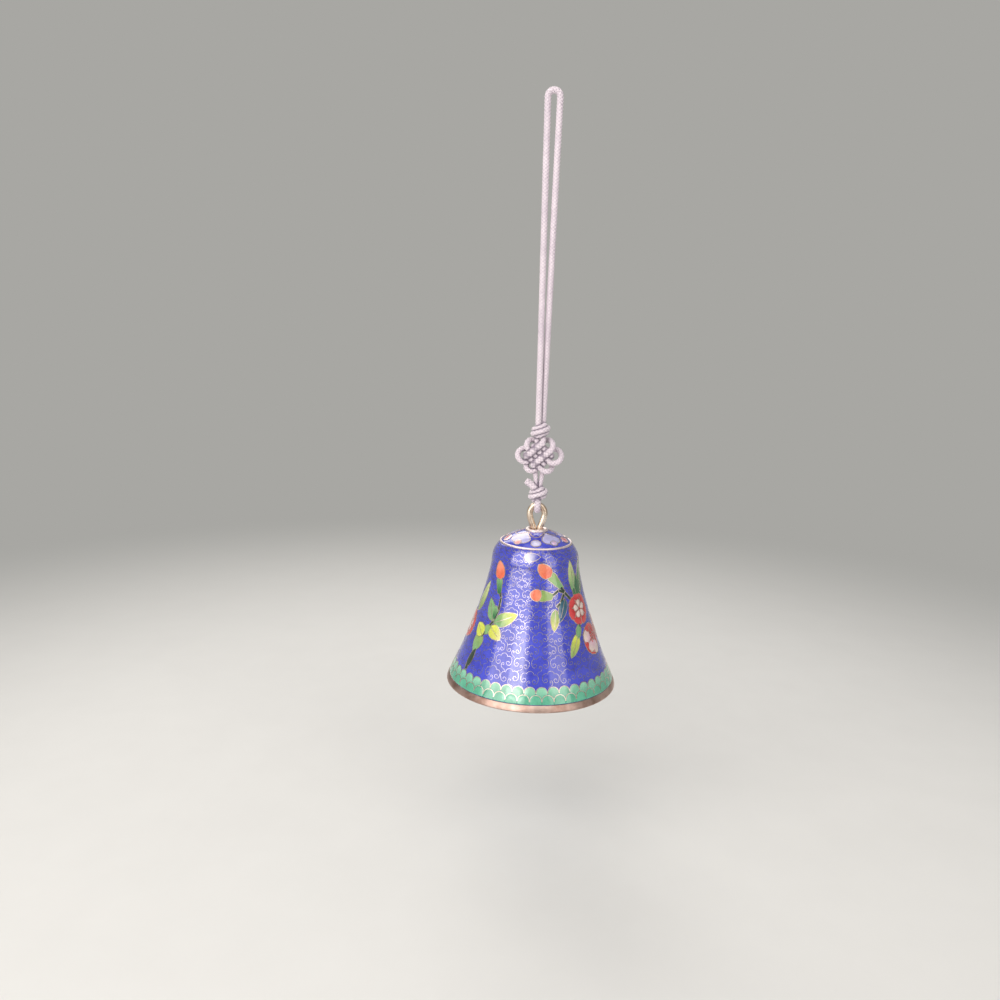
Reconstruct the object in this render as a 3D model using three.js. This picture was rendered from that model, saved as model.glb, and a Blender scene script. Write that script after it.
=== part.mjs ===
// Cloisonne hanging bell on a knotted cord, in millimetres, +Z up.
// Origin: inside top of the cord loop, where it bears on its support. The front faces -Y.
import * as THREE from 'three';

// Heights below the hang point
const HANG_TO_RIM = 163.5;
const HANG_TO_UPPER_KNOT = 89.3;
const HANG_TO_PAN_CHANG = 96.4;
const HANG_TO_LOWER_KNOT = 107.5;
const HANG_TO_EYE_TOP = 110.75;

// Outside form of the bell, measured up from its rim
const RIM_R = 25;
const SHOULDER_R = 12.6;
const SKIRT_H = 37;
const FLARE = 1.35;
const DOME_H = 8.6;
const LAPPETS = 44;

// Layers of the wall, from outside to inside
const ENAMEL_T = 0.8;
const COPPER_T = 0.8;
const LINING_T = 0.35;
const BOND_GAP = 0.05;

// Rim band, lappet border and fence wires
const BAND_H = 1.9;
const LIP_T = 0.55;
const LAPPET_VALLEY_Z = 4.75;
const LAPPET_RISE = 1.6;
const LAPPET_STEPS = 4;
const WIRE_W = 0.5;
const WIRE_PROUD = 0.1;
const BORDER_TOP_Z = 7.4;
const SHOULDER_WIRE_W = 0.6;
const SHOULDER_WIRE_DEG = 36;

// Crown fittings
const CROWN_HOLE_R = 2.05;
const COLLAR_R = 3.2;
const COLLAR_H = 1.25;
const COLLAR_EDGE = 0.3;
const WASHER_R = 3.8;
const WASHER_T = 0.6;
const SEAT_GAP = 0.1;

// Hanging eye: one wire bent to an upper teardrop, a neck and an inner ring
const EYE_WIRE_D = 1.7;
const EYE_R = 2.15;
const NECK_GAP = 0.2;
const NECK_OVER = 0.1;
const NECK_RISE = 1.1;
const INNER_RING_R = 1.9;
const INNER_RING_DROP = 2.6;
const BUTT_GAP = 0.3;

// Clapper
const LINK_WIRE_D = 1.2;
const LINK_R = 2.6;
const LINK_PLAY = 0.12;
const CLAPPER_EYE_R = 1.4;
const CLAPPER_EYE_DROP = 2.66;
const CLAPPER_EYE_END_DEG = 205;
const CLAPPER_WIRE_D = 1.2;
const CLAPPER_SHANK = 26;
const BALL_R = 4.5;
const BALL_BORE_GAP = 0.06;
const RIVET_OVER = 0.4;

// Cord
const CORD_D = 1.7;
const KNOT_CORD_D = 1.4;
const HANG_R = 0.8;
const BIGHT_END_DEG = 30;
const STRAND_X = 0.64;
const STRAND_Y = 0.62;
const LEAD_X = 0.86;
const CORD_STEP = 4;
const FACE_GAP = 0.3;

// Double connection knots above and below
const KNOT_TURNS = 3;
const KNOT_R = 1.47;
const KNOT_LAP = 0.8;
const KNOT_RISE = 1.2;
const KNOT_TUBE_D = 1.32;
const KNOT_STEPS = 48;

// Pan chang knot: flattened lines in six levels, four lines each way
const WEAVE_LINES = 4;
const WEAVE_PITCH = 1.65;
const WEAVE_FLAT = 0.9;
const WEAVE_W = 1.5;
const WEAVE_T = 0.72;
const LEVEL_PITCH = 0.78;
const WEAVE_EDGE = 0.12;
const FOLD_REACH = 0.36;
const EAR_REACH = 1.75;
const EAR_D = 1.3;
const CORNER_PULL = 6.2;
const LEAD_Y = -0.75;
const LEAD_LIFT = 0.2;
const LEAD_PULL = 0.4;
const LEAD_OUT = 1.1;
const LEAD_BACK = 0.5;
const LEAD_DROP = 2.2;
const TAIL_D = 1.7;
const TAIL_L = 2.4;
const TAIL_OUT = 2.3;
const TAIL_FORE = 0.4;
const TAIL_UP = 2.55;

// Derived sizes
const rimZ = -HANG_TO_RIM;
const facets = Math.round(LAPPETS);
const copperOut = ENAMEL_T + BOND_GAP;
const copperIn = copperOut + COPPER_T;
const liningOut = copperIn + BOND_GAP;
const liningIn = liningOut + LINING_T;
const rad = THREE.MathUtils.degToRad;
const X_AXIS = new THREE.Vector3(1, 0, 0);
const Y_AXIS = new THREE.Vector3(0, 1, 0);
const Z_AXIS = new THREE.Vector3(0, 0, 1);
const skirtStations = [0, BAND_H + BOND_GAP, BORDER_TOP_Z].concat(
  [0.18, 0.42, 0.7, 1].map((f) => BORDER_TOP_Z + (SKIRT_H - BORDER_TOP_Z) * f),
);
const shoulderHalfDeg = THREE.MathUtils.radToDeg(SHOULDER_WIRE_W / 2 / SHOULDER_R);
const shoulderGapDeg = THREE.MathUtils.radToDeg(BOND_GAP / SHOULDER_R);
const domeStations = [16, SHOULDER_WIRE_DEG, 52, 66].map(rad);

// Materials
const paint = (color, metalness, roughness) =>
  new THREE.MeshStandardMaterial({ color, metalness, roughness });
const blueEnamel = paint(0x3a4fae, 0, 0.18);
const paleEnamel = paint(0xc9cdea, 0, 0.2);
const greenEnamel = paint(0x4fae96, 0, 0.2);
const liningEnamel = paint(0x3f86b5, 0, 0.3);
const gilt = paint(0xc9a15a, 1, 0.3);
const copper = paint(0xb87348, 1, 0.4);
const cord = paint(0xcfcad8, 0, 0.9);

const group = new THREE.Group();
group.name = 'cloisonne_hanging_bell';

function add(name, geometry, material) {
  geometry.computeVertexNormals();
  const mesh = new THREE.Mesh(geometry, material);
  mesh.name = name;
  group.add(mesh);
}

function soup(triangles) {
  const geometry = new THREE.BufferGeometry();
  const flat = triangles.flatMap((tri) => tri.flatMap((p) => [p.x, p.y, p.z]));
  geometry.setAttribute('position', new THREE.Float32BufferAttribute(flat, 3));
  return geometry;
}

// Radius of the skirt at a height above the rim, inset through the wall
function flareRadius(z, inset) {
  const rest = Math.max(0, 1 - z / SKIRT_H);
  const slope = ((RIM_R - SHOULDER_R) * FLARE / SKIRT_H) * rest ** (FLARE - 1);
  const outer = SHOULDER_R + (RIM_R - SHOULDER_R) * rest ** FLARE;
  return outer - inset * Math.hypot(1, slope);
}

// The same radius read along straight chords between shared stations, so all layers stay parallel
function wallR(z, inset) {
  const top = skirtStations.findIndex((s, i) => i > 0 && z <= s + 1e-9);
  const z0 = skirtStations[top - 1];
  const z1 = skirtStations[top];
  return THREE.MathUtils.lerp(flareRadius(z0, inset), flareRadius(z1, inset), (z - z0) / (z1 - z0));
}

function skirtLine(from, to, inset) {
  const inner = skirtStations.filter((s) => s > from + 1e-6 && s < to - 1e-6);
  return [from, ...inner, to].map((z) => [wallR(z, inset), z]);
}

function domePoint(angle, inset) {
  return [(SHOULDER_R - inset) * Math.cos(angle), SKIRT_H + (DOME_H - inset) * Math.sin(angle)];
}

function domeLine(from, to, inset) {
  const inner = domeStations.filter((a) => a > from + 1e-6 && a < to - 1e-6);
  return [from, ...inner, to].map((a) => domePoint(a, inset));
}

const domeAngle = (r, inset) => Math.acos(r / (SHOULDER_R - inset));

// Height of the crown's last chord, between the top station and the hole
function crownZ(r, inset) {
  const [r0, z0] = domePoint(domeStations.at(-1), inset);
  const [r1, z1] = domePoint(domeAngle(CROWN_HOLE_R, inset), inset);
  return THREE.MathUtils.lerp(z0, z1, (r - r0) / (r1 - r0));
}

// Closed profile turned about the bell's axis, sharing one set of facets
function turned(profile, sides = facets) {
  const points = [...profile, profile[0]].map(([r, z]) => new THREE.Vector2(r, z));
  const geometry = new THREE.LatheGeometry(points, sides);
  geometry.rotateX(Math.PI / 2);
  geometry.translate(0, 0, rimZ);
  return geometry;
}

// Closed ring of rows whose heights may vary along each facet
function bordered(rows) {
  const triangles = [];
  const at = (row, facet, t) => {
    const [r, z] = row.point(t);
    const a = (2 * Math.PI * facet) / facets;
    const b = (2 * Math.PI * (facet + 1)) / facets;
    const x = THREE.MathUtils.lerp(Math.sin(a), Math.sin(b), t);
    const y = THREE.MathUtils.lerp(-Math.cos(a), -Math.cos(b), t);
    return new THREE.Vector3(r * x, r * y, z + rimZ);
  };
  rows.forEach((low, k) => {
    const high = rows[(k + 1) % rows.length];
    for (let facet = 0; facet < facets; facet += 1) {
      let i = 0;
      let j = 0;
      while (i < low.steps || j < high.steps) {
        const a = at(low, facet, i / low.steps);
        const b = at(high, facet, j / high.steps);
        if (j >= high.steps || (i < low.steps && (i + 1) / low.steps <= (j + 1) / high.steps)) {
          i += 1;
          triangles.push([a, at(low, facet, i / low.steps), b]);
        } else {
          j += 1;
          triangles.push([a, at(high, facet, j / high.steps), b]);
        }
      }
    }
  });
  return soup(triangles);
}

const plainRow = ([r, z]) => ({ steps: 1, point: () => [r, z] });

// A row that follows the lappets' scalloped line, shifted up or down
function scallopRow(shift, inset) {
  const height = (t) => LAPPET_VALLEY_Z + LAPPET_RISE * Math.sin(Math.PI * t) + shift;
  return { steps: LAPPET_STEPS, point: (t) => [wallR(height(t), inset), height(t)] };
}

// Tube along a path, whose width lies along a held direction, a guide for each point, or a carried side
function tube(path, options) {
  const { sides = 8, closed = false, wide, deep = wide, hold = null, guides = null } = options;
  const count = path.length;
  const next = (i) => (closed ? (i + 1) % count : Math.min(i + 1, count - 1));
  const last = (i) => (closed ? (i + count - 1) % count : Math.max(i - 1, 0));
  let side = options.side ? options.side.clone() : null;
  const rings = path.map((p, i) => {
    const tangent = path[next(i)].clone().sub(path[last(i)]).normalize();
    const guide = hold ?? (guides ? guides[i] ?? tangent.clone().cross(Y_AXIS) : side);
    const across = guide.clone().addScaledVector(tangent, -guide.dot(tangent)).normalize();
    if (guides && across.dot(side) < 0) across.negate();
    side = across;
    const through = tangent.clone().cross(across);
    const w = typeof wide === 'function' ? wide(i) : wide;
    const d = typeof deep === 'function' ? deep(i) : deep;
    return Array.from({ length: sides }, (_, k) => {
      const a = (2 * Math.PI * (k + 0.5)) / sides;
      const rim = p.clone().addScaledVector(across, (w / 2) * Math.cos(a));
      return rim.addScaledVector(through, (d / 2) * Math.sin(a));
    });
  });
  const triangles = [];
  const spans = closed ? count : count - 1;
  for (let i = 0; i < spans; i += 1) {
    for (let k = 0; k < sides; k += 1) {
      const m = (k + 1) % sides;
      const a = rings[i][k];
      const b = rings[i][m];
      const c = rings[next(i)][m];
      const d = rings[next(i)][k];
      triangles.push([a, b, c], [a, c, d]);
    }
  }
  if (!closed) {
    for (let k = 1; k < sides - 1; k += 1) {
      triangles.push([rings[0][0], rings[0][k + 1], rings[0][k]]);
      triangles.push([rings[count - 1][0], rings[count - 1][k], rings[count - 1][k + 1]]);
    }
  }
  return soup(triangles);
}

function arc(centre, radius, fromDeg, toDeg, stepDeg, place) {
  const steps = Math.max(1, Math.round(Math.abs(toDeg - fromDeg) / stepDeg));
  return Array.from({ length: steps + 1 }, (_, i) => {
    const a = rad(THREE.MathUtils.lerp(fromDeg, toDeg, i / steps));
    return place(centre[0] + radius * Math.cos(a), centre[1] + radius * Math.sin(a));
  });
}

const inXZ = (a, z) => new THREE.Vector3(a, 0, z);
const inYZ = (a, z) => new THREE.Vector3(0, a, z);

function straight(from, to, step) {
  const steps = Math.max(1, Math.round(from.distanceTo(to) / step));
  return Array.from({ length: steps + 1 }, (_, i) => from.clone().lerp(to, i / steps));
}

function bezier(a, b, c, d, steps) {
  return new THREE.CubicBezierCurve3(a, b, c, d).getPoints(steps);
}

// Copper cup with its crown hole
const lipTop = LIP_T + BOND_GAP;
const holeOut = domeAngle(CROWN_HOLE_R, copperOut);
const holeIn = domeAngle(CROWN_HOLE_R, copperIn);
add('copper_shell', turned([
  ...skirtLine(lipTop, SKIRT_H, copperOut),
  ...domeLine(domeStations[0], holeOut, copperOut),
  ...domeLine(domeStations[0], holeIn, copperIn).reverse(),
  ...skirtLine(lipTop, SKIRT_H, copperIn).reverse(),
]), copper);

// Counter-enamel lining
const liningTop = domeStations.at(-1);
add('inner_enamel', turned([
  ...skirtLine(lipTop, SKIRT_H, liningOut),
  ...domeLine(domeStations[0], liningTop, liningOut),
  ...domeLine(domeStations[0], liningTop, liningIn).reverse(),
  ...skirtLine(lipTop, SKIRT_H, liningIn).reverse(),
]), liningEnamel);

// Gilt rim band: an angle ring under the wall's lower edge
add('rim_band', turned([
  [wallR(LIP_T, liningIn), 0],
  [wallR(0, 0), 0],
  [wallR(BAND_H, 0), BAND_H],
  [wallR(BAND_H, ENAMEL_T), BAND_H],
  [wallR(LIP_T, ENAMEL_T), LIP_T],
  [wallR(LIP_T, liningIn), LIP_T],
]), gilt);

// Lappet border: enamel below a scalloped fence wire
const borderFoot = BAND_H + BOND_GAP;
add('lappet_enamel', bordered([
  plainRow([wallR(borderFoot, 0), borderFoot]),
  scallopRow(-WIRE_W / 2 - BOND_GAP, 0),
  scallopRow(-WIRE_W / 2 - BOND_GAP, ENAMEL_T),
  plainRow([wallR(borderFoot, ENAMEL_T), borderFoot]),
]), greenEnamel);
add('lappet_wire', bordered([
  scallopRow(-WIRE_W / 2, -WIRE_PROUD),
  scallopRow(WIRE_W / 2, -WIRE_PROUD),
  scallopRow(WIRE_W / 2, ENAMEL_T),
  scallopRow(-WIRE_W / 2, ENAMEL_T),
]), gilt);

// Blue skirt enamel from the fence wire up to the shoulder wire
const skirtEndDeg = SHOULDER_WIRE_DEG - shoulderHalfDeg - shoulderGapDeg;
const crownStartDeg = SHOULDER_WIRE_DEG + shoulderHalfDeg + shoulderGapDeg;
const skirtSkin = (inset) => [
  scallopRow(WIRE_W / 2 + BOND_GAP, inset),
  ...skirtLine(BORDER_TOP_Z, SKIRT_H, inset).map(plainRow),
  ...domeLine(domeStations[0], rad(skirtEndDeg), inset).map(plainRow),
];
add('skirt_enamel', bordered([...skirtSkin(0), ...skirtSkin(ENAMEL_T).reverse()]), blueEnamel);

// Shoulder fence wire
const wireLow = rad(SHOULDER_WIRE_DEG - shoulderHalfDeg);
const wireHigh = rad(SHOULDER_WIRE_DEG + shoulderHalfDeg);
add('shoulder_wire', turned([
  domePoint(wireLow, ENAMEL_T),
  domePoint(wireLow, -WIRE_PROUD / 2),
  domePoint((wireLow + wireHigh) / 2, -WIRE_PROUD * 1.5),
  domePoint(wireHigh, -WIRE_PROUD / 2),
  domePoint(wireHigh, ENAMEL_T),
]), gilt);

// Crown enamel, open in the middle for the collar
const crownEdgeR = COLLAR_R + SEAT_GAP;
add('crown_enamel', turned([
  ...domeLine(rad(crownStartDeg), domeAngle(crownEdgeR, 0), 0),
  ...domeLine(rad(crownStartDeg), domeAngle(crownEdgeR, ENAMEL_T), ENAMEL_T).reverse(),
]), paleEnamel);

// Collar on the copper crown, and the washer under it
const collarFoot = (r) => crownZ(r, copperOut) + SEAT_GAP;
const collarTop = collarFoot(CROWN_HOLE_R) + COLLAR_H;
add('crown_collar', turned([
  [CROWN_HOLE_R, collarFoot(CROWN_HOLE_R)],
  [COLLAR_R, collarFoot(COLLAR_R)],
  [COLLAR_R, collarTop - COLLAR_EDGE],
  [COLLAR_R - COLLAR_EDGE, collarTop],
  [CROWN_HOLE_R, collarTop],
]), gilt);
const washerTop = (r) => crownZ(r, copperIn) - SEAT_GAP;
const washerFoot = washerTop(WASHER_R) - WASHER_T;
add('inner_washer', turned([
  [CROWN_HOLE_R, washerFoot],
  [WASHER_R, washerFoot],
  [WASHER_R, washerTop(WASHER_R)],
  [CROWN_HOLE_R, washerTop(CROWN_HOLE_R)],
]), gilt);

// Hanging eye: right half from the inner ring's butt to the top, then its mirror image
const neckX = (EYE_WIRE_D + NECK_GAP) / 2;
const neckTop = collarTop + NECK_RISE + rimZ;
const neckFoot = washerFoot - NECK_OVER + rimZ;
const eyeCentre = [0, -HANG_TO_EYE_TOP - EYE_R];
const ringCentre = [0, neckFoot - INNER_RING_DROP];
const tangentDeg = (centre, radius, x, z) => {
  const dx = x - centre[0];
  const dz = z - centre[1];
  const half = Math.acos(radius / Math.hypot(dx, dz));
  return THREE.MathUtils.radToDeg(Math.atan2(dz, dx) - Math.sign(dz) * half);
};
const buttDeg = THREE.MathUtils.radToDeg(BUTT_GAP / 2 / INNER_RING_R);
const ringEndDeg = tangentDeg(ringCentre, INNER_RING_R, neckX, neckFoot);
const rightHalf = [
  ...arc(ringCentre, INNER_RING_R, -90 + buttDeg, ringEndDeg, 22, inXZ),
  inXZ(neckX, neckFoot),
  inXZ(neckX, neckTop),
  ...arc(eyeCentre, EYE_R, tangentDeg(eyeCentre, EYE_R, neckX, neckTop), 90, 18, inXZ),
];
const leftHalf = rightHalf.slice(0, -1).reverse().map((p) => inXZ(-p.x, p.z));
add('hanging_eye', tube([...rightHalf, ...leftHalf], { sides: 10, wide: EYE_WIRE_D, side: Y_AXIS }), gilt);

// Clapper: a link on the inner ring, then a wire with an eye, and its ball
const ringFootZ = ringCentre[1] - INNER_RING_R;
const linkTopZ = ringFootZ + (EYE_WIRE_D + LINK_WIRE_D) / 2 + LINK_PLAY;
const linkCentreZ = linkTopZ - LINK_R;
const link = new THREE.TorusGeometry(LINK_R, LINK_WIRE_D / 2, 8, 22);
link.rotateY(Math.PI / 2);
link.translate(0, 0, linkCentreZ);
add('clapper_link', link, gilt);
const clapperPivotZ = linkCentreZ - LINK_R;
const shankTopZ = clapperPivotZ - CLAPPER_EYE_DROP;
const ballZ = clapperPivotZ - CLAPPER_SHANK;
const pivot = [0, clapperPivotZ];
const clapperPath = [
  ...straight(inXZ(0, ballZ - BALL_R - RIVET_OVER), inXZ(0, shankTopZ), 12),
  ...arc(pivot, CLAPPER_EYE_R, tangentDeg(pivot, CLAPPER_EYE_R, 0, shankTopZ), CLAPPER_EYE_END_DEG, 24, inXZ),
];
add('clapper_wire', tube(clapperPath, { wide: CLAPPER_WIRE_D, side: Y_AXIS }), gilt);
const boreR = CLAPPER_WIRE_D / 2 + BALL_BORE_GAP;
const boreDeg = THREE.MathUtils.radToDeg(Math.acos(boreR / BALL_R));
const ball = arc([0, ballZ - rimZ], BALL_R, -boreDeg, boreDeg, 18, (r, z) => [r, z]);
add('clapper_ball', turned(ball, 20), gilt);

// Cord loop: the bight at the top and the two hanging strands
const loopR = HANG_R + CORD_D / 2;
const loopCentre = [0, -HANG_R];
const bight = arc(loopCentre, loopR, BIGHT_END_DEG, 180 - BIGHT_END_DEG, 20, inXZ);
add('cord_bight', tube(bight, { wide: CORD_D, side: Y_AXIS }), cord);
const knotHalf = KNOT_RISE + KNOT_TUBE_D / 2;
const strandFoot = -HANG_TO_UPPER_KNOT + knotHalf + FACE_GAP;
for (const [name, way] of [['cord_strand_left', -1], ['cord_strand_right', 1]]) {
  const foot = new THREE.Vector3(way * STRAND_X, way * STRAND_Y, strandFoot);
  const strand = straight(inXZ(way * loopR, -HANG_R), foot, CORD_STEP);
  add(name, tube(strand, { wide: CORD_D, side: Y_AXIS }), cord);
}

// Double connection knot: three wraps on each face, each slanted over the next
function wrapped(z, turnDeg) {
  return Array.from({ length: KNOT_STEPS }, (_, i) => {
    const a = (2 * Math.PI * KNOT_TURNS * i) / KNOT_STEPS;
    const r = KNOT_R + KNOT_LAP * Math.cos(a / KNOT_TURNS);
    const way = a + rad(turnDeg);
    return new THREE.Vector3(r * Math.sin(way), -r * Math.cos(way), z + KNOT_RISE * Math.sin(a / KNOT_TURNS));
  });
}

const wrapOptions = { wide: KNOT_TUBE_D, closed: true, hold: Z_AXIS };
add('upper_knot', tube(wrapped(-HANG_TO_UPPER_KNOT, 0), wrapOptions), cord);
add('lower_knot', tube(wrapped(-HANG_TO_LOWER_KNOT, 0), wrapOptions), cord);

// Pan chang knot: place on the diamond by line, distance along it and level from the front
function woven(u, v, level) {
  const wide = WEAVE_PITCH * Math.SQRT1_2;
  const high = wide * WEAVE_FLAT;
  const depth = (level - 3.5) * LEVEL_PITCH;
  return new THREE.Vector3((u - v) * wide, depth, (WEAVE_LINES - u - v) * high - HANG_TO_PAN_CHANG);
}
const onLine = (kind, line, s, level) => (kind === 'u' ? woven(s, line, level) : woven(line, s, level));
const outward = (end) => (end === 0 ? -1 : 1);
const ease = (f) => THREE.MathUtils.smoothstep(f, 0.3, 0.7);
const downRight = new THREE.Vector3(1, 0, -WEAVE_FLAT).normalize();
const downLeft = new THREE.Vector3(-1, 0, -WEAVE_FLAT).normalize();
const upRight = downLeft.clone().negate();
const upLeft = downRight.clone().negate();
const across = { u: downLeft, v: downRight };

class Strand {
  constructor() {
    this.points = [];
    this.guides = [];
    this.wide = [];
    this.deep = [];
  }

  put(point, guide, swell = 0, full = EAR_D) {
    this.points.push(point);
    this.guides.push(guide);
    this.wide.push(THREE.MathUtils.lerp(WEAVE_W, full, swell));
    this.deep.push(THREE.MathUtils.lerp(WEAVE_T, full, swell));
  }

  run(kind, line, from, to, level) {
    for (const end of [from, to]) {
      this.put(onLine(kind, line, end + (outward(end) * WEAVE_EDGE) / WEAVE_PITCH, level), across[kind]);
    }
  }

  fold(kind, line, end, from, to) {
    for (let k = 1; k < 6; k += 1) {
      const a = (Math.PI * k) / 6;
      const out = (WEAVE_EDGE + FOLD_REACH * Math.sin(a)) / WEAVE_PITCH;
      const level = (from + to + (from - to) * Math.cos(a)) / 2;
      this.put(onLine(kind, line, end + outward(end) * out, level), across[kind]);
    }
  }

  ear(kind, fromLine, toLine, end, from, to) {
    for (let k = 1; k < 10; k += 1) {
      const a = (Math.PI * k) / 10;
      const line = (fromLine + toLine + (fromLine - toLine) * Math.cos(a)) / 2;
      const out = (WEAVE_EDGE + EAR_REACH * Math.sin(a)) / WEAVE_PITCH;
      const level = from + (to - from) * ease(k / 10);
      this.put(onLine(kind, line, end + outward(end) * out, level), null, Math.sin(a) ** 2);
    }
  }

  cornerEar(start, startOut, finish, finishOut) {
    const a = start.clone().addScaledVector(startOut, CORNER_PULL);
    const b = finish.clone().addScaledVector(finishOut, CORNER_PULL);
    const curve = bezier(start, a, b, finish, 14).slice(1, -1);
    curve.forEach((p, i) => {
      const f = (i + 1) / 14;
      p.y = start.y + (finish.y - start.y) * ease(f);
      this.put(p, null, Math.sin(Math.PI * f) ** 2);
    });
  }

  lead(points, from, to, full = KNOT_CORD_D) {
    points.forEach((p, i) => {
      const f = THREE.MathUtils.lerp(from, to, i / (points.length - 1));
      this.put(p, null, f, full);
    });
  }

  tube(side) {
    const wide = (i) => this.wide[i];
    const deep = (i) => this.deep[i];
    return tube(this.points, { wide, deep, side, guides: this.guides });
  }
}

// Where the strands leave the upper knot, and where they end at the lower one
const leadTopZ = -HANG_TO_UPPER_KNOT - knotHalf - FACE_GAP;
const leadFootZ = -HANG_TO_LOWER_KNOT + knotHalf + FACE_GAP + LEAD_LIFT;
const leadTop = (way) => new THREE.Vector3(way * LEAD_X, LEAD_Y, leadTopZ);
const leadFoot = (way) => new THREE.Vector3(way * LEAD_X, 0, leadFootZ);
const leadEdge = WEAVE_EDGE / WEAVE_PITCH;

function leadIn(strand, way, entry, heading) {
  const from = leadTop(way);
  const pull = from.clone().addScaledVector(Z_AXIS, -LEAD_PULL);
  const push = entry.clone().addScaledVector(heading, -LEAD_PULL);
  strand.lead(bezier(from, pull, push, entry, 4).slice(0, -1), 0.6, 0.1);
}

function leadOut(strand, way, exit, heading) {
  const to = leadFoot(way);
  const pull = exit.clone().addScaledVector(heading, LEAD_OUT).addScaledVector(Y_AXIS, LEAD_BACK);
  const above = to.clone().addScaledVector(Z_AXIS, LEAD_DROP);
  strand.lead(bezier(exit, pull, above, to, 7).slice(1), 0.2, 1);
}

// Two lines there and back, joined by an ear at one end
function linesAndEar(strand, kind, first, front, back, earEnd) {
  const farEnd = WEAVE_LINES - earEnd;
  const second = first + 2;
  strand.run(kind, first, earEnd, farEnd, front);
  strand.fold(kind, first, farEnd, front, back);
  strand.run(kind, first, farEnd, earEnd, back);
  strand.ear(kind, first, second, earEnd, back, front);
  strand.run(kind, second, earEnd, farEnd, front);
  strand.fold(kind, second, farEnd, front, back);
  strand.run(kind, second, farEnd, earEnd, back);
}

// First strand: down-right lines round the other, then down-left lines between the levels
const strandA = new Strand();
const farEdge = WEAVE_LINES + leadEdge;
leadIn(strandA, -1, woven(-leadEdge, 0.5, 2), downRight);
linesAndEar(strandA, 'u', 0.5, 2, 5, 0);
strandA.cornerEar(woven(-leadEdge, 2.5, 5), upLeft, woven(1.5, farEdge, 3), downLeft);
linesAndEar(strandA, 'v', 1.5, 3, 4, WEAVE_LINES);
leadOut(strandA, -1, woven(3.5, farEdge, 4), downLeft);
add('pan_chang_strand_a', strandA.tube(upRight), cord);

// Second strand: down-left lines outside all others, then down-right lines inside them
const strandB = new Strand();
leadIn(strandB, 1, woven(0.5, -leadEdge, 1), downLeft);
linesAndEar(strandB, 'v', 0.5, 1, 6, 0);
strandB.cornerEar(woven(2.5, -leadEdge, 6), upRight, woven(farEdge, 1.5, 2), downRight);
linesAndEar(strandB, 'u', 1.5, 2, 5, WEAVE_LINES);
leadOut(strandB, 1, woven(farEdge, 3.5, 5), downRight);
add('pan_chang_strand_b', strandB.tube(upLeft), cord);

// Cut tail of the cord beside the lower knot
const tailFrom = new THREE.Vector3(-TAIL_OUT, -TAIL_FORE, -HANG_TO_LOWER_KNOT + TAIL_UP);
const tailWay = new THREE.Vector3(-0.82, -0.1, 0.56).normalize();
const tailTo = tailFrom.clone().addScaledVector(tailWay, TAIL_L);
add('cord_tail', tube(straight(tailFrom, tailTo, TAIL_L / 2), { wide: TAIL_D, side: Y_AXIS }), cord);

// Bight below the lower knot, through the hanging eye
const eyeBightR = EYE_WIRE_D / 2 + SEAT_GAP + KNOT_CORD_D / 2;
const eyeBightTop = -HANG_TO_LOWER_KNOT - KNOT_RISE - KNOT_TUBE_D / 2 - FACE_GAP;
const eyeBight = [
  inYZ(-eyeBightR, eyeBightTop),
  ...arc([0, -HANG_TO_EYE_TOP], eyeBightR, 180, 360, 20, inYZ),
  inYZ(eyeBightR, eyeBightTop),
];
add('eye_bight', tube(eyeBight, { wide: KNOT_CORD_D, side: X_AXIS }), cord);

export default group;
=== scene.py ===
# %% [markdown]
# # Cloisonne hanging bell
# A copper bell covered with enamel cells between gilt wires, hung from a knotted silk cord.
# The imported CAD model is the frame: it fixes where each piece is and how it moves. This lesson
# dresses that frame. All sizes are written in millimetres and turned to metres at the last step.

# %% Load the frame
import math

import bpy
import numpy as np
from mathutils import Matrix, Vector


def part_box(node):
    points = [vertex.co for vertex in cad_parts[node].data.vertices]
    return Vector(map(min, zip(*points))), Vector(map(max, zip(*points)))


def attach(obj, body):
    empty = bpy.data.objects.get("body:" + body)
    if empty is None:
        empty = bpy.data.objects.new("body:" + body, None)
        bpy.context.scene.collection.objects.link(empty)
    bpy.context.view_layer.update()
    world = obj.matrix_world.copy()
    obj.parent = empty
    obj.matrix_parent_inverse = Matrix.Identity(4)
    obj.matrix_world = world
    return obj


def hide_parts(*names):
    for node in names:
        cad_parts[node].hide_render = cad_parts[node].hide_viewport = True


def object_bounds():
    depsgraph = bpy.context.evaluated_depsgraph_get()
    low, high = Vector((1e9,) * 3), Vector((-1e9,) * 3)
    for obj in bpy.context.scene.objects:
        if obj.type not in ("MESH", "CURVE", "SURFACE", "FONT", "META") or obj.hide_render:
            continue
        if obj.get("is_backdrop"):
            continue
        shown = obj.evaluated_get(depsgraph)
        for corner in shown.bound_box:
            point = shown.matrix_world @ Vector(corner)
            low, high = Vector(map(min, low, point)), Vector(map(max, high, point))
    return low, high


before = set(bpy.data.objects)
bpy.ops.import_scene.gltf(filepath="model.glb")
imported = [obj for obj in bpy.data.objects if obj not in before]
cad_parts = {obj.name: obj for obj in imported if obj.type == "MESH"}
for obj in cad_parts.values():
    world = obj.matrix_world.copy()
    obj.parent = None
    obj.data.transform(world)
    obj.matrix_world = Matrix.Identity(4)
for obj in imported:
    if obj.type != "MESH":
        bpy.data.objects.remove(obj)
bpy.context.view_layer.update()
MM = 0.001
scene = bpy.context.scene
scene.view_settings.view_transform = "Standard"

# %% [markdown]
# ## Camera
# A camera is set by where it stands, where it looks and its focal length. A fit of the rim and the
# shoulder ring gave these values: the lens stands 100 mm above the rim and looks 11 degrees down.
# The three axes are written out, so the small roll of the hand-held shot is kept.

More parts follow.
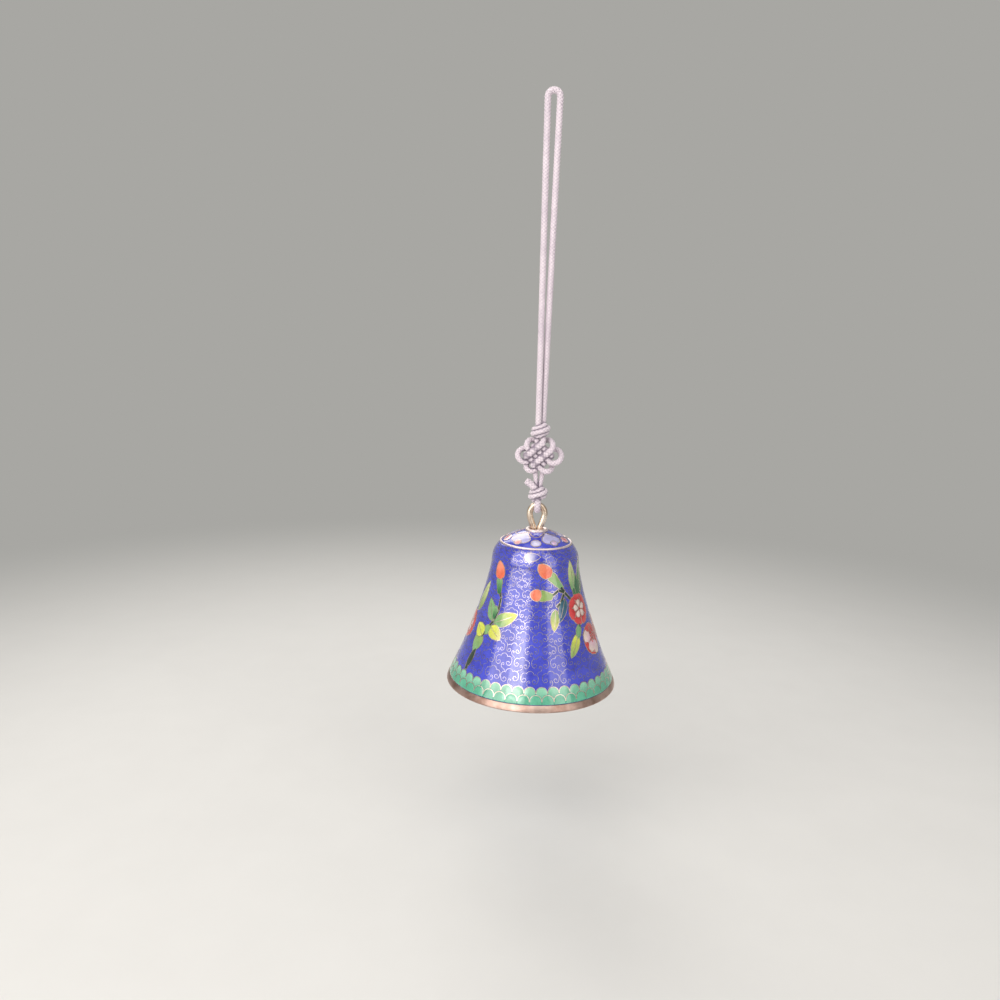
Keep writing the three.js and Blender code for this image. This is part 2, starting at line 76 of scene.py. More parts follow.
# %% Camera
FOCAL_PX, FRAME_PX, SENSOR_W, CLIP_START = 844, 1000, 36.0, 0.005
CAMERA_AT = Vector((0, -239.2, -64.0)) * MM
PITCH, YAW, ROLL = (math.radians(a) for a in (10.82, -2.6, -1.86))

camera_data = bpy.data.cameras.new("photo_camera")
camera_data.sensor_width = SENSOR_W
camera_data.lens = SENSOR_W * FOCAL_PX / FRAME_PX
camera_data.clip_start = CLIP_START
camera = bpy.data.objects.new("photo_camera", camera_data)
scene.collection.objects.link(camera)
ahead = Vector((math.sin(YAW) * math.cos(PITCH), math.cos(YAW) * math.cos(PITCH), -math.sin(PITCH)))
level = Vector((math.cos(YAW), -math.sin(YAW), 0))
below = ahead.cross(level)
right = level * math.cos(ROLL) + below * math.sin(ROLL)
down = below * math.cos(ROLL) - level * math.sin(ROLL)
turn = camera.matrix_world.to_3x3()
turn.col[0], turn.col[1], turn.col[2] = right, -down, -ahead
camera.matrix_world = turn.to_4x4()
camera.location = CAMERA_AT
scene.camera = camera
print("camera:", round(camera_data.lens, 2), "mm lens")

# %% [markdown]
# ## Small helpers
# Each finished piece is a plain mesh at the origin that rides on one body of the frame. These
# helpers make such a piece, set its material, and say which CAD nodes it stands for.

# %% Helpers for pieces
def linear(hex_colour):
    """A colour picker's hex value as the linear colour that shaders use."""
    parts = [int(hex_colour[i:i + 2], 16) / 255 for i in (1, 3, 5)]
    return [c / 12.92 if c <= 0.04045 else ((c + 0.055) / 1.055) ** 2.4 for c in parts]


def new_piece(name, points_mm, faces, edges=()):
    mesh = bpy.data.meshes.new(name)
    mesh.from_pydata([tuple(c * MM for c in p) for p in points_mm], edges, faces)
    piece = bpy.data.objects.new(name, mesh)
    scene.collection.objects.link(piece)
    return piece


def settle(piece, body, material, stands_for=(), smooth=True):
    """Material, shading and place in the frame for a piece whose mesh is done."""
    piece.data.materials.clear()
    piece.data.materials.append(material)
    piece.data.polygons.foreach_set("use_smooth", [smooth] * len(piece.data.polygons))
    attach(piece, body)
    if stands_for:
        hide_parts(*stands_for)
    print(piece.name, "on", body, "with", len(piece.data.polygons), "faces")
    return piece


print("mid grey in linear light:", round(linear("#808080")[0], 3))

# %% [markdown]
# ## A short way to write nodes
# Shader trees and Geometry Nodes trees are built in the same way: nodes joined by links. This small
# class takes a socket or a plain number for any input, so that a formula reads as one line.

# %% Node writer
class Tree:
    def __init__(self, tree):
        self.tree = tree

    def put(self, kind, inputs=(), **settings):
        node = self.tree.nodes.new(kind)
        for key, value in settings.items():
            setattr(node, key, value)
        for key, value in dict(inputs).items():
            self.feed(node.inputs[key], value)
        return node

    def feed(self, socket, value):
        if isinstance(value, bpy.types.NodeSocket):
            self.tree.links.new(value, socket)
        elif isinstance(value, bpy.types.Node):
            self.tree.links.new(value.outputs[0], socket)
        else:
            socket.default_value = value

    def math(self, operation, *values):
        return self.put("ShaderNodeMath", enumerate(values), operation=operation).outputs[0]

    def vector(self, operation, *values):
        node = self.put("ShaderNodeVectorMath", enumerate(values), operation=operation)
        return node.outputs["Value" if operation in ("DOT_PRODUCT", "LENGTH") else "Vector"]

    def scaled(self, vector, factor):
        node = self.put("ShaderNodeVectorMath", {"Vector": vector, "Scale": factor}, operation="SCALE")
        return node.outputs["Vector"]


# A socket's label is its name here in title case, apart from these.
SOCKETS = {"ior": "IOR"}


class Shader(Tree):
    """A new material with a Principled shader, and Object coordinates in metres."""

    def __init__(self, name):
        self.material = bpy.data.materials.new(name)
        self.material.use_nodes = True
        super().__init__(self.material.node_tree)
        self.surface = self.tree.nodes["Principled BSDF"]
        self.place = self.put("ShaderNodeTexCoord").outputs["Object"]

    def noise(self, scale, detail=3.0, rough=0.5, where=None):
        inputs = {"Vector": where or self.place, "Scale": scale, "Detail": detail, "Roughness": rough}
        return self.put("ShaderNodeTexNoise", inputs).outputs["Fac"]

    def spread(self, value, low, high, to_low=0.0, to_high=1.0):
        sockets = {"Value": value, "From Min": low, "From Max": high, "To Min": to_low, "To Max": to_high}
        return self.put("ShaderNodeMapRange", sockets).outputs["Result"]

    def blend(self, factor, first, second):
        node = self.put("ShaderNodeMix", data_type="RGBA")
        self.feed(node.inputs["Factor"], factor)
        for socket, colour in (("A", first), ("B", second)):
            at = [i for i in node.inputs if i.name == socket and i.type == "RGBA"][0]
            self.feed(at, (*colour, 1) if isinstance(colour, (list, tuple)) else colour)
        return [o for o in node.outputs if o.type == "RGBA"][0]

    def bump(self, height, strength, distance):
        inputs = {"Height": height, "Strength": strength, "Distance": distance}
        self.feed(self.surface.inputs["Normal"], self.put("ShaderNodeBump", inputs).outputs["Normal"])

    def set(self, **values):
        for name, value in values.items():
            self.feed(self.surface.inputs[SOCKETS.get(name, name.replace("_", " ").title())], value)


class Nodes(Tree):
    """A Geometry Nodes tree with named inputs."""

    def __init__(self, name, **inputs):
        super().__init__(bpy.data.node_groups.new(name, "GeometryNodeTree"))
        sockets = self.tree.interface
        sockets.new_socket("Geometry", in_out="INPUT", socket_type="NodeSocketGeometry")
        for label, kind in inputs.items():
            sockets.new_socket(label, in_out="INPUT", socket_type="NodeSocket" + kind)
        sockets.new_socket("Geometry", in_out="OUTPUT", socket_type="NodeSocketGeometry")
        self.given = self.put("NodeGroupInput").outputs

    def named(self, name, kind="FLOAT"):
        node = self.put("GeometryNodeInputNamedAttribute", {"Name": name}, data_type=kind)
        return node.outputs["Attribute"]

    def store(self, geometry, name, value, kind="FLOAT"):
        inputs = {"Geometry": geometry, "Name": name, "Value": value}
        node = self.put("GeometryNodeStoreNamedAttribute", inputs, data_type=kind, domain="POINT")
        return node.outputs["Geometry"]

    def end(self, geometry, material):
        real = self.put("GeometryNodeRealizeInstances", {"Geometry": geometry})
        painted = self.put("GeometryNodeSetMaterial", {"Geometry": real, "Material": material})
        self.put("NodeGroupOutput", {"Geometry": painted})

    def bake(self, piece, **values):
        """Runs the tree on a piece and keeps the result as its plain mesh."""
        modifier = piece.modifiers.new("nodes", "NODES")
        modifier.node_group = self.tree
        for item in self.tree.interface.items_tree:
            if item.in_out == "INPUT" and item.name in values:
                modifier[item.identifier] = values[item.name]
        graph = bpy.context.evaluated_depsgraph_get()
        made = bpy.data.meshes.new_from_object(
            piece.evaluated_get(graph), preserve_all_data_layers=True, depsgraph=graph)
        piece.modifiers.clear()
        old, piece.data = piece.data, made
        bpy.data.meshes.remove(old)
        made.name = piece.name
        return piece


print("node writers:", Tree.__name__, Shader.__name__, Nodes.__name__)

# %% [markdown]
# ## Silk cord
# The cord is a soft round braid of eight yarns, pale lavender grey with a low sheen. Its colour has
# painted shade between the yarns and where two lengths press together, and varies along the
# length. The braid itself is geometry, so the material adds fibres, colour and that painted shade.

# %% Cord material
cord_paint = Shader("lavender_silk")
yarn = cord_paint.put("ShaderNodeAttribute", attribute_name="yarn_height").outputs["Fac"]
fibre = cord_paint.put("ShaderNodeAttribute", attribute_name="fibre").outputs["Fac"]
hairs = cord_paint.math("SINE", cord_paint.math("MULTIPLY", fibre, 42.0))
grime = cord_paint.spread(cord_paint.noise(140.0), 0.35, 0.7)
silk = cord_paint.blend(grime, linear("#e4d7df"), linear("#d2c4cf"))
# Painted shade: the silk is darker where a yarn dips between its neighbours.
shaded_silk = cord_paint.blend(cord_paint.spread(yarn, 0.1, 0.8), linear("#9f91a3"), silk)
# Painted shade: darker in the creases where two lengths of cord press together.
painted_crease_shade = cord_paint.put("ShaderNodeAttribute", attribute_name="painted_crease_shade").outputs["Fac"]
shaded_silk = cord_paint.blend(painted_crease_shade, shaded_silk, linear("#75667a"))
streak = cord_paint.spread(hairs, -1.0, 1.0, 0.0, 0.16)
cord_paint.set(base_color=cord_paint.blend(streak, shaded_silk, linear("#f1eaee")))
cord_paint.set(roughness=cord_paint.spread(cord_paint.noise(900.0), 0.3, 0.7, 0.55, 0.8))
cord_paint.set(sheen_weight=0.35, sheen_roughness=0.45)
cord_paint.bump(cord_paint.math("ADD", hairs, cord_paint.noise(5200.0)), 0.35, 0.00004)
silk_cord = cord_paint.material
print("material:", silk_cord.name)

# %% [markdown]
# ## Braid that follows a path
# A braid could be eight separate tubes, but tubes leave gaps where the cord is pressed flat in a
# knot. Here one tube follows the path, and its skin rises where a yarn lies on top. Two sets of
# helical lines cut the skin into diamonds, and each diamond in turn belongs to a yarn of one set.
# The path carries three attributes: the direction of its width, its width and its depth.

# %% Braided cord tree
SKIN_POINTS, YARN_ROUND, ACROSS_YARN, ALONG_YARN = 24, 0.6, 2.75, 2.2
# Only a start: a tree moves each point of its section to where the cord or wire has it.
SEED_R = 0.0002
braid = Nodes("Braided cord", Step="Float", Lay="Float", Yarns="Float", Relief="Float", Silk="Material")
route = braid.put("GeometryNodeMeshToCurve", {"Mesh": braid.given["Geometry"]}).outputs["Curve"]
evenly = {"Curve": route, "Length": braid.given["Step"]}
route = braid.put("GeometryNodeResampleCurve", evenly, mode="LENGTH").outputs["Curve"]
heading = braid.put("GeometryNodeInputTangent").outputs["Tangent"]
route = braid.store(route, "heading", heading, "FLOAT_VECTOR")
route = braid.store(route, "middle", braid.put("GeometryNodeInputPosition").outputs[0], "FLOAT_VECTOR")
route = braid.store(route, "along", braid.put("GeometryNodeSplineParameter").outputs["Length"])
ring = braid.put("GeometryNodeCurvePrimitiveCircle", {"Resolution": SKIN_POINTS, "Radius": SEED_R})
share = braid.put("GeometryNodeSplineParameter").outputs["Factor"]
ring = braid.store(ring.outputs["Curve"], "around", share)
sleeve = braid.put("GeometryNodeCurveToMesh", {"Curve": route, "Profile Curve": ring, "Fill Caps": True})
sleeve = sleeve.outputs["Mesh"]
turns = braid.math("DIVIDE", braid.named("along"), braid.given["Lay"])
one_way, other_way = (
    braid.math("MULTIPLY", braid.given["Yarns"], braid.math(lean, braid.named("around"), turns))
    for lean in ("ADD", "SUBTRACT"))
diamonds = braid.math("ADD", braid.math("FLOOR", one_way), braid.math("FLOOR", other_way))
crossing = braid.math("FLOORED_MODULO", diamonds, 2.0)
first_part, other_part = (
    braid.math("SUBTRACT", braid.math("FRACT", way), 0.5) for way in (one_way, other_way))


def either(if_zero, if_one):
    change = braid.math("MULTIPLY", crossing, braid.math("SUBTRACT", if_one, if_zero))
    return braid.math("ADD", if_zero, change)


def dome(value, flat):
    """Round over a yarn: 1 in its middle and low at its edge."""
    return braid.math("POWER", braid.math("COSINE", braid.math("MULTIPLY", value, flat)), YARN_ROUND)


across_yarn = either(other_part, first_part)
along_yarn = either(first_part, other_part)
yarn_height = braid.math("MULTIPLY", dome(across_yarn, ACROSS_YARN), dome(along_yarn, ALONG_YARN))
sleeve = braid.store(sleeve, "yarn_height", yarn_height)
sleeve = braid.store(sleeve, "fibre", across_yarn)
swell = braid.math("SUBTRACT", 1.0, braid.math(
    "MULTIPLY", braid.given["Relief"], braid.math("SUBTRACT", 1.0, braid.named("yarn_height"))))
angle = braid.math("MULTIPLY", braid.named("around"), 2 * math.pi)
wide_way = braid.vector("NORMALIZE", braid.named("side", "FLOAT_VECTOR"))
deep_way = braid.vector("NORMALIZE", braid.vector(
    "CROSS_PRODUCT", braid.named("heading", "FLOAT_VECTOR"), wide_way))
half_wide, half_deep = (
    braid.math("MULTIPLY", braid.math("MULTIPLY", braid.named(size), 0.5), swell)
    for size in ("wide", "deep"))
spot = braid.vector(
    "ADD", braid.scaled(wide_way, braid.math("MULTIPLY", half_wide, braid.math("COSINE", angle))),
    braid.scaled(deep_way, braid.math("MULTIPLY", half_deep, braid.math("SINE", angle))))
spot = braid.vector("ADD", braid.named("middle", "FLOAT_VECTOR"), spot)
sleeve = braid.put("GeometryNodeSetPosition", {"Geometry": sleeve, "Position": spot}).outputs["Geometry"]
braid.end(sleeve, braid.given["Silk"])
print("tree:", braid.tree.name, "with", len(braid.tree.nodes), "nodes")

# %% Braided piece from a route
CORD_LAY, CORD_STEP, CORD_RELIEF, CORD_FULL = 3.7, 0.11, 0.28, 1.08
YARNS_EACH_WAY = 4
routes = {}


def braided(name, points, sides, wide, deep):
    """A route in millimetres, with a width direction, width and depth for each point, as a braid."""
    piece = new_piece(name, points, [], [(i, i + 1) for i in range(len(points) - 1)])
    for label, kind, key, values in (
            ("side", "FLOAT_VECTOR", "vector", np.array(sides, float).ravel()),
            ("wide", "FLOAT", "value", np.array(wide, float) * CORD_FULL * MM),
            ("deep", "FLOAT", "value", np.array(deep, float) * CORD_FULL * MM)):
        piece.data.attributes.new(label, kind, "POINT").data.foreach_set(key, values)
    routes[name] = np.array(points, float), max(np.max(wide), np.max(deep)) * CORD_FULL / 2
    return braid.bake(piece, Step=CORD_STEP * MM, Lay=CORD_LAY * MM, Yarns=float(YARNS_EACH_WAY),
                      Relief=CORD_RELIEF, Silk=silk_cord)


def settle_cord(piece, *nodes, body="cord_loop"):
    return settle(piece, body, silk_cord, nodes)


print("braid:", 2 * YARNS_EACH_WAY, "yarns, once round in", CORD_LAY, "mm")

# %% [markdown]
# ## Loop of cord
# One length of cord goes up from the top knot, over its support and down again. The weight of the bell
# pulls it taut, so both runs are straight and only the top is curved. The route is the same as in
# the CAD source. It is one open path.

# %% Hanging loop
CORD_D, HANG_R, STRAND_X, STRAND_Y, LEAD_X = 1.7, 0.8, 0.64, 0.62, 0.86
UPPER_KNOT_Z, PAN_CHANG_Z, LOWER_KNOT_Z, EYE_TOP_Z = -89.3, -96.4, -107.5, -110.75
LOOP_FOOT_Z, RISE_STEPS, BEND_STEPS = -88.3, 9, 14
loop_r = HANG_R + CORD_D / 2


def straight(start, stop, count):
    start, way = np.array(start), np.array(stop) - np.array(start)
    return [tuple(start + way * k / count) for k in range(count + 1)]


def arc(centre, radius, from_deg, to_deg, count):
    angles = np.radians(np.linspace(from_deg, to_deg, count + 1))
    return [(centre[0] + radius * math.cos(a), centre[1] + radius * math.sin(a)) for a in angles]


rise = straight((-STRAND_X, -STRAND_Y, LOOP_FOOT_Z), (-loop_r, 0, -HANG_R), RISE_STEPS)
bend = [(x, 0, z) for x, z in arc((0, -HANG_R), loop_r, 180, 0, BEND_STEPS)]
loop_route = rise + bend[1:] + [(-x, -y, z) for x, y, z in reversed(rise[:-1])]
count = len(loop_route)
sizes = [CORD_D] * count
hanging_loop = braided("hanging_loop", loop_route, [(0, 1, 0)] * count, sizes, sizes)
settle_cord(hanging_loop, "cord_bight", "cord_strand_left", "cord_strand_right")

# %% [markdown]
# ## Knots above and below
# Each is a double connection knot: the cord goes round the two strands and back through its own
# turns, so three slanted wraps show on each face and bulge in the middle. A helix whose radius swells
# and closes again has that form, and its ends are hidden inside.

# %% Double knots
KNOT_TURNS, KNOT_R, KNOT_PITCH, KNOT_TILT, KNOT_D = 2.6, 2.1, 1.12, 0.28, 1.46
KNOT_STEPS, KNOT_CLOSE, KNOT_BULGE = 150, 0.04, 0.4


def wrapped(name, z):
    points = []
    for f in np.linspace(0, 1, KNOT_STEPS + 1):
        a = 2 * math.pi * KNOT_TURNS * (f - 0.5)
        r = KNOT_R * math.sin(math.pi * (KNOT_CLOSE + (1 - 2 * KNOT_CLOSE) * f)) ** KNOT_BULGE
        x, y = r * math.sin(a), -r * math.cos(a)
        points.append((x, y, z + KNOT_PITCH * KNOT_TURNS * (f - 0.5) + KNOT_TILT * x))
    sizes = [KNOT_D] * len(points)
    return braided(name, points, [(0, 0, 1)] * len(points), sizes, sizes)


upper_knot = settle_cord(wrapped("top_knot", UPPER_KNOT_Z), "upper_knot")
lower_knot = settle_cord(wrapped("foot_knot", LOWER_KNOT_Z), "lower_knot")

# %% [markdown]
# ## Pan chang knot
# This flat woven knot is the showpiece of the cord. Two strands run in six levels from front to
# back, four lines each way, with small folds at the ends of lines, ears between pairs of lines and
# one large ear at each side corner. The steps below follow a strand in the order in which it is tied.

# %% Weave places
PITCH_MM, LEVEL_MM, FLAT, LINES_EACH_WAY, MIDDLE_LEVEL = 1.65, 0.62, 0.9, 4, 3.5
WEAVE_W, WEAVE_T, EDGE, FOLD_OUT, EAR_OUT, EAR_D = 1.55, 1.1, 0.12, 0.36, 2.1, 1.55
CORNER_OUT, CORNER_PULL, CORNER_ASIDE, LEAD_D, FRONT_W = 0.9, 1.25, 3.9, 1.2, 1.95
RUN_POINTS, FOLD_STEPS, EAR_STEPS, CORNER_STEPS, EASE_FROM, EASE_OVER = 5, 10, 20, 28, 0.3, 0.4
DOWN_RIGHT = np.array((1, 0, -FLAT)) / math.hypot(1, FLAT)
DOWN_LEFT = DOWN_RIGHT * (-1, 1, 1)


def woven(u, v, level_no):
    """A place in the knot: u and v count its lines from the top corner, levels run front to back."""
    scale = PITCH_MM * math.sqrt(0.5)
    height = (LINES_EACH_WAY - u - v) * scale * FLAT
    return np.array(((u - v) * scale, (level_no - MIDDLE_LEVEL) * LEVEL_MM, height + PAN_CHANG_Z))


def on_line(kind, line, s, level_no):
    return woven(s, line, level_no) if kind == "u" else woven(line, s, level_no)


def eased(f):
    """A soft step from 0 to 1, so that an ear changes its level in its middle."""
    t = min(1, max(0, (f - EASE_FROM) / EASE_OVER))
    return t * t * (3 - 2 * t)


def bezier(controls, count):
    rows = []
    for t in np.linspace(0, 1, count + 1):
        pull = list(controls)
        while len(pull) > 1:
            pull = [a + (b - a) * t for a, b in zip(pull, pull[1:])]
        rows.append(pull[0])
    return rows


print("weave:", LINES_EACH_WAY, "lines each way")

# %% A strand of the weave
class Strand:
    def __init__(self, side):
        self.points, self.sides, self.wide, self.deep = [], [], [], []
        self.guides, self.start_side = [], side

    def put(self, point, guide=None, swell=0.0, full=EAR_D):
        self.points.append(np.array(point))
        self.guides.append(guide)
        self.wide.append(WEAVE_W + (full - WEAVE_W) * swell)
        self.deep.append(WEAVE_T + (full - WEAVE_T) * swell)

    def run(self, kind, line, start, stop, level_no):
        for s in np.linspace(start, stop, RUN_POINTS):
            self.put(on_line(kind, line, s, level_no), DOWN_LEFT if kind == "u" else DOWN_RIGHT)
            self.wide[-1] = FRONT_W if level_no == 1 else WEAVE_W

    def fold(self, kind, line, end, start, stop):
        out = math.copysign(FOLD_OUT / PITCH_MM, end - LINES_EACH_WAY / 2)
        for a in np.linspace(0, math.pi, FOLD_STEPS + 1)[1:-1]:
            level_no = (start + stop + (start - stop) * math.cos(a)) / 2
            place = on_line(kind, line, end + out * math.sin(a), level_no)
            self.put(place, DOWN_LEFT if kind == "u" else DOWN_RIGHT)

    def ear(self, kind, line, next_line, end, start, stop):
        for k in range(1, EAR_STEPS):
            a = math.pi * k / EAR_STEPS
            at = (line + next_line + (line - next_line) * math.cos(a)) / 2
            out = (EDGE + EAR_OUT * math.sin(a)) / PITCH_MM * (1 if end else -1)
            level_no = start + (stop - start) * eased(k / EAR_STEPS)
            self.put(on_line(kind, at, end + out, level_no), None, math.sin(a) ** 2)

    def corner_ear(self, start, way_out, stop, way_in):
        aside = np.array((math.copysign(CORNER_ASIDE, way_out[0]), 0, 0))
        controls = [start, start + way_out * CORNER_OUT, start + way_out * CORNER_PULL + aside,
                    stop + way_in * CORNER_PULL + aside, stop + way_in * CORNER_OUT, stop]
        curve = bezier(controls, CORNER_STEPS)
        for k in range(1, CORNER_STEPS):
            point = curve[k]
            point[1] = start[1] + (stop[1] - start[1]) * eased(k / CORNER_STEPS)
            self.put(point, None, math.sin(math.pi * k / CORNER_STEPS) ** 2)

    def lead(self, points, start, stop):
        for k, point in enumerate(points):
            self.put(point, None, start + (stop - start) * k / (len(points) - 1), LEAD_D)

    def braid(self, name):
        side = self.start_side
        for k, point in enumerate(self.points):
            ahead_of = self.points[min(k + 1, len(self.points) - 1)]
            tangent = ahead_of - self.points[max(k - 1, 0)]
            tangent = tangent / np.linalg.norm(tangent)
            guide = np.cross(tangent, (0, 1, 0)) if self.guides[k] is None else self.guides[k]
            flat = guide - tangent * guide.dot(tangent)
            flat = flat / np.linalg.norm(flat)
            side = -flat if flat.dot(side) < 0 else flat
            self.sides.append(tuple(side))
        return braided(name, [tuple(p) for p in self.points], self.sides, self.wide, self.deep)


print("strand:", EAR_STEPS, "steps in an ear and", CORNER_STEPS, "in a corner ear")

# %% Both strands of the pan chang knot
KNOT_HALF, LEAD_TUCK, LEAD_GAP, LEAD_Y, LEAD_PULL, LEAD_STEPS = 1.4, 0.5, 0.1, -0.6, 0.4, 8
LINK_X, LINK_OUT, LINK_BACK, LINK_RISE, LINK_STEPS = 0.48, 1.1, 0.5, 2.2, 12
LEAD_SWELL, LINK_SWELL = (0.6, 0.1), (0.2, 1)
OPEN_EARS, CLOSED_EARS = (0.7, 0.4), (0.3, 0.05)
LEAD_TOP_Z = UPPER_KNOT_Z - KNOT_HALF + LEAD_TUCK
LEAD_FOOT_Z = LOWER_KNOT_Z + KNOT_HALF + LEAD_GAP
edge = EDGE / PITCH_MM
far_edge = LINES_EACH_WAY + edge
UP = np.array((0, 0, 1.0))


def lead_in(strand, way, entry, heading_in):
    start = np.array((way * LEAD_X, LEAD_Y, LEAD_TOP_Z))
    controls = [start, start - UP * LEAD_PULL, entry - heading_in * LEAD_PULL, entry]
    strand.lead(bezier(controls, LEAD_STEPS)[:-1], *LEAD_SWELL)


def lead_out(strand, way, leave, heading_out):
    stop = np.array((way * LINK_X, 0, LEAD_FOOT_Z))
    pull = leave + heading_out * LINK_OUT + np.array((0, LINK_BACK, 0))
    strand.lead(bezier([leave, pull, stop + UP * LINK_RISE, stop], LINK_STEPS)[1:], *LINK_SWELL)


def lines_and_ear(strand, kind, first, front, back, ear_end, gaps):
    """Two lines there and back, joined by an ear at one end. At the other end each folds back
    short of another ear, at a side corner or within an edge, and that gap is the hole of that ear."""
    near = far_edge if ear_end else -edge
    for line in (first, first + 2):
        short = gaps[0] if line in (0.5, 3.5) else gaps[1]
        far = short if ear_end else LINES_EACH_WAY - short
        strand.run(kind, line, near, far, front)
        strand.fold(kind, line, far, front, back)
        strand.run(kind, line, far, near, back)
        if line == first:
            strand.ear(kind, first, first + 2, ear_end, back, front)


left_strand = Strand(-DOWN_LEFT)
lead_in(left_strand, -1, woven(-edge, 0.5, 2), DOWN_RIGHT)
lines_and_ear(left_strand, "u", 0.5, 2, 5, 0, OPEN_EARS)
left_strand.corner_ear(woven(-edge, 2.5, 5), -DOWN_RIGHT, woven(1.5, far_edge, 3), DOWN_LEFT)
lines_and_ear(left_strand, "v", 1.5, 3, 4, LINES_EACH_WAY, OPEN_EARS)
lead_out(left_strand, -1, woven(3.5, far_edge, 4), DOWN_LEFT)
right_strand = Strand(-DOWN_RIGHT)
lead_in(right_strand, 1, woven(0.5, -edge, 1), DOWN_LEFT)
lines_and_ear(right_strand, "v", 0.5, 1, 6, 0, CLOSED_EARS)
right_strand.corner_ear(woven(2.5, -edge, 6), -DOWN_LEFT, woven(far_edge, 1.5, 2), DOWN_RIGHT)
lines_and_ear(right_strand, "u", 1.5, 2, 5, LINES_EACH_WAY, CLOSED_EARS)
lead_out(right_strand, 1, woven(far_edge, 3.5, 5), DOWN_RIGHT)
knot_a = settle_cord(left_strand.braid("pan_chang_left"), "pan_chang_strand_a")
knot_b = settle_cord(right_strand.braid("pan_chang_right"), "pan_chang_strand_b")

# %% [markdown]
# ## Cut tail and the bight in the eye
# The end of the cord is cut short beside the lower knot. Under that knot the cord goes down through
# the brass eye and up again, and this bight is what the bell rocks in.

# %% Tail and bight
TAIL_D, TAIL_L, TAIL_STEPS, TAIL_BEND = 2.0, 2.57, 16, 0.9
TAIL_ROOT, TAIL_FROM, TAIL_WAY = (-0.6, -0.8, 1.2), (-1.5, -0.37, 2.4), (-0.82, -0.1, 0.56)
EYE_WIRE_D, EYE_CORD_W, EYE_CORD_D, EYE_GAP, BIGHT_RISE, BIGHT_STEPS = 1.7, 1.8, 1.4, 0.1, 1.0, 20
tail_root, tail_from = (np.array(p) + UP * LOWER_KNOT_Z for p in (TAIL_ROOT, TAIL_FROM))
tail_way = np.array(TAIL_WAY) / np.linalg.norm(TAIL_WAY)
tail_bend = [tail_root, tail_from, tail_from + tail_way * TAIL_BEND, tail_from + tail_way * TAIL_L]
tail_points = [tuple(p) for p in bezier(tail_bend, TAIL_STEPS)]
tail_taper = [0.8, 0.86, 0.92, 0.96] + [1.0] * (TAIL_STEPS - 5) + [0.93, 0.8]
sizes = [TAIL_D * f for f in tail_taper]
tail = braided("cord_end", tail_points, [(0, 1, 0)] * len(sizes), sizes, sizes)
settle_cord(tail, "cord_tail")
bight_r = EYE_WIRE_D / 2 + EYE_GAP + EYE_CORD_D / 2
bight_top = LOWER_KNOT_Z - BIGHT_RISE
bight_points = [(0, -bight_r, bight_top)]
bight_points += [(0, y, z) for y, z in arc((0, EYE_TOP_Z), bight_r, 180, 360, BIGHT_STEPS)]
bight_points += [(0, bight_r, bight_top)]
count = len(bight_points)
bight = braided(
    "eye_loop_cord", bight_points, [(1, 0, 0)] * count, [EYE_CORD_W] * count, [EYE_CORD_D] * count)
settle_cord(bight, "eye_bight", body="eye_loop")

# %% [markdown]
# ## Painted shade in the creases
# Each point of the cord's skin takes the gap to the nearest other length of cord. A length of the
# same strand counts as another once it is a few millimetres further on. Where the gap closes, the
# silk gets its darkest painted shade.

# %% Creases
CREASE_REACH, CREASE_APART, CREASE_STEP, CREASE_CURVE, FAR_GAP = 0.42, 2.6, 0.2, 1.5, 9.0


def spaced(line):
    at = np.concatenate([[0], np.cumsum(np.linalg.norm(np.diff(line, axis=0), axis=1))])
    marks = np.arange(0, at[-1], CREASE_STEP)
    return np.stack([np.interp(marks, at, line[:, c]) for c in range(3)], axis=1), marks


def shade_creases(piece):
    count = len(piece.data.vertices)
    places, along = np.empty(count * 3), np.empty(count)
    piece.data.vertices.foreach_get("co", places)
    piece.data.attributes["along"].data.foreach_get("value", along)
    places, along, gap = places.reshape(-1, 3) / MM, along / MM, np.full(count, FAR_GAP)
    for name, (line, half) in routes.items():
        spots, marks = spaced(line)
        squares = (places ** 2).sum(1)[:, None] + (spots ** 2).sum(1) - 2 * places @ spots.T
        if name == piece.name:
            squares[np.abs(along[:, None] - marks) < CREASE_APART] = FAR_GAP ** 2
        gap = np.minimum(gap, np.sqrt(np.maximum(squares.min(1), 0)) - half)
    shade = np.clip(1 - gap / CREASE_REACH, 0, 1) ** CREASE_CURVE
    piece.data.attributes.new("painted_crease_shade", "FLOAT", "POINT").data.foreach_set("value", shade)
    print(piece.name, "crease shade up to", round(float(shade.max()), 2))


for cord_piece in (hanging_loop, upper_knot, knot_a, knot_b, lower_knot, tail, bight):
    shade_creases(cord_piece)

# %% [markdown]
# ## Form of the bell
# The bell is a turned shape: a flared skirt and a low dome. The enamel work follows that surface, so
# places on it are given by an azimuth and by the distance up the wall. Azimuth 0 faces the front, and
# positive azimuths go to the right. A lathe of a closed profile makes each turned piece.

# %% Bell surface
RIM_Z, RIM_R, SHOULDER_R, SKIRT_H, FLARE, DOME_H = -163.5, 25.0, 12.6, 37.0, 1.35, 8.6
TURNED_SIDES, SKIRT_STEPS, DOME_STEPS, DOME_END_DEG = 176, 240, 160, 86


def skirt_r(z):
    return SHOULDER_R + (RIM_R - SHOULDER_R) * np.maximum(0, 1 - z / SKIRT_H) ** FLARE


heights = np.linspace(0, SKIRT_H, SKIRT_STEPS)
dome_angles = np.radians(np.linspace(0, DOME_END_DEG, DOME_STEPS))[1:]
wall_r = np.concatenate([skirt_r(heights), SHOULDER_R * np.cos(dome_angles)])
wall_z = np.concatenate([heights, SKIRT_H + DOME_H * np.sin(dome_angles)])
wall_s = np.concatenate([[0], np.cumsum(np.hypot(np.diff(wall_r), np.diff(wall_z)))])
slope_r, slope_z = np.gradient(wall_r, wall_s), np.gradient(wall_z, wall_s)


def up_wall(z):
    """Distance up the wall to a height above the rim."""
    return float(np.interp(z, wall_z, wall_s))


def up_dome(angle):
    """Distance up the wall to an angle on the dome, from 0 at its edge."""
    return float(np.interp(angle, dome_angles, wall_s[len(heights):]))


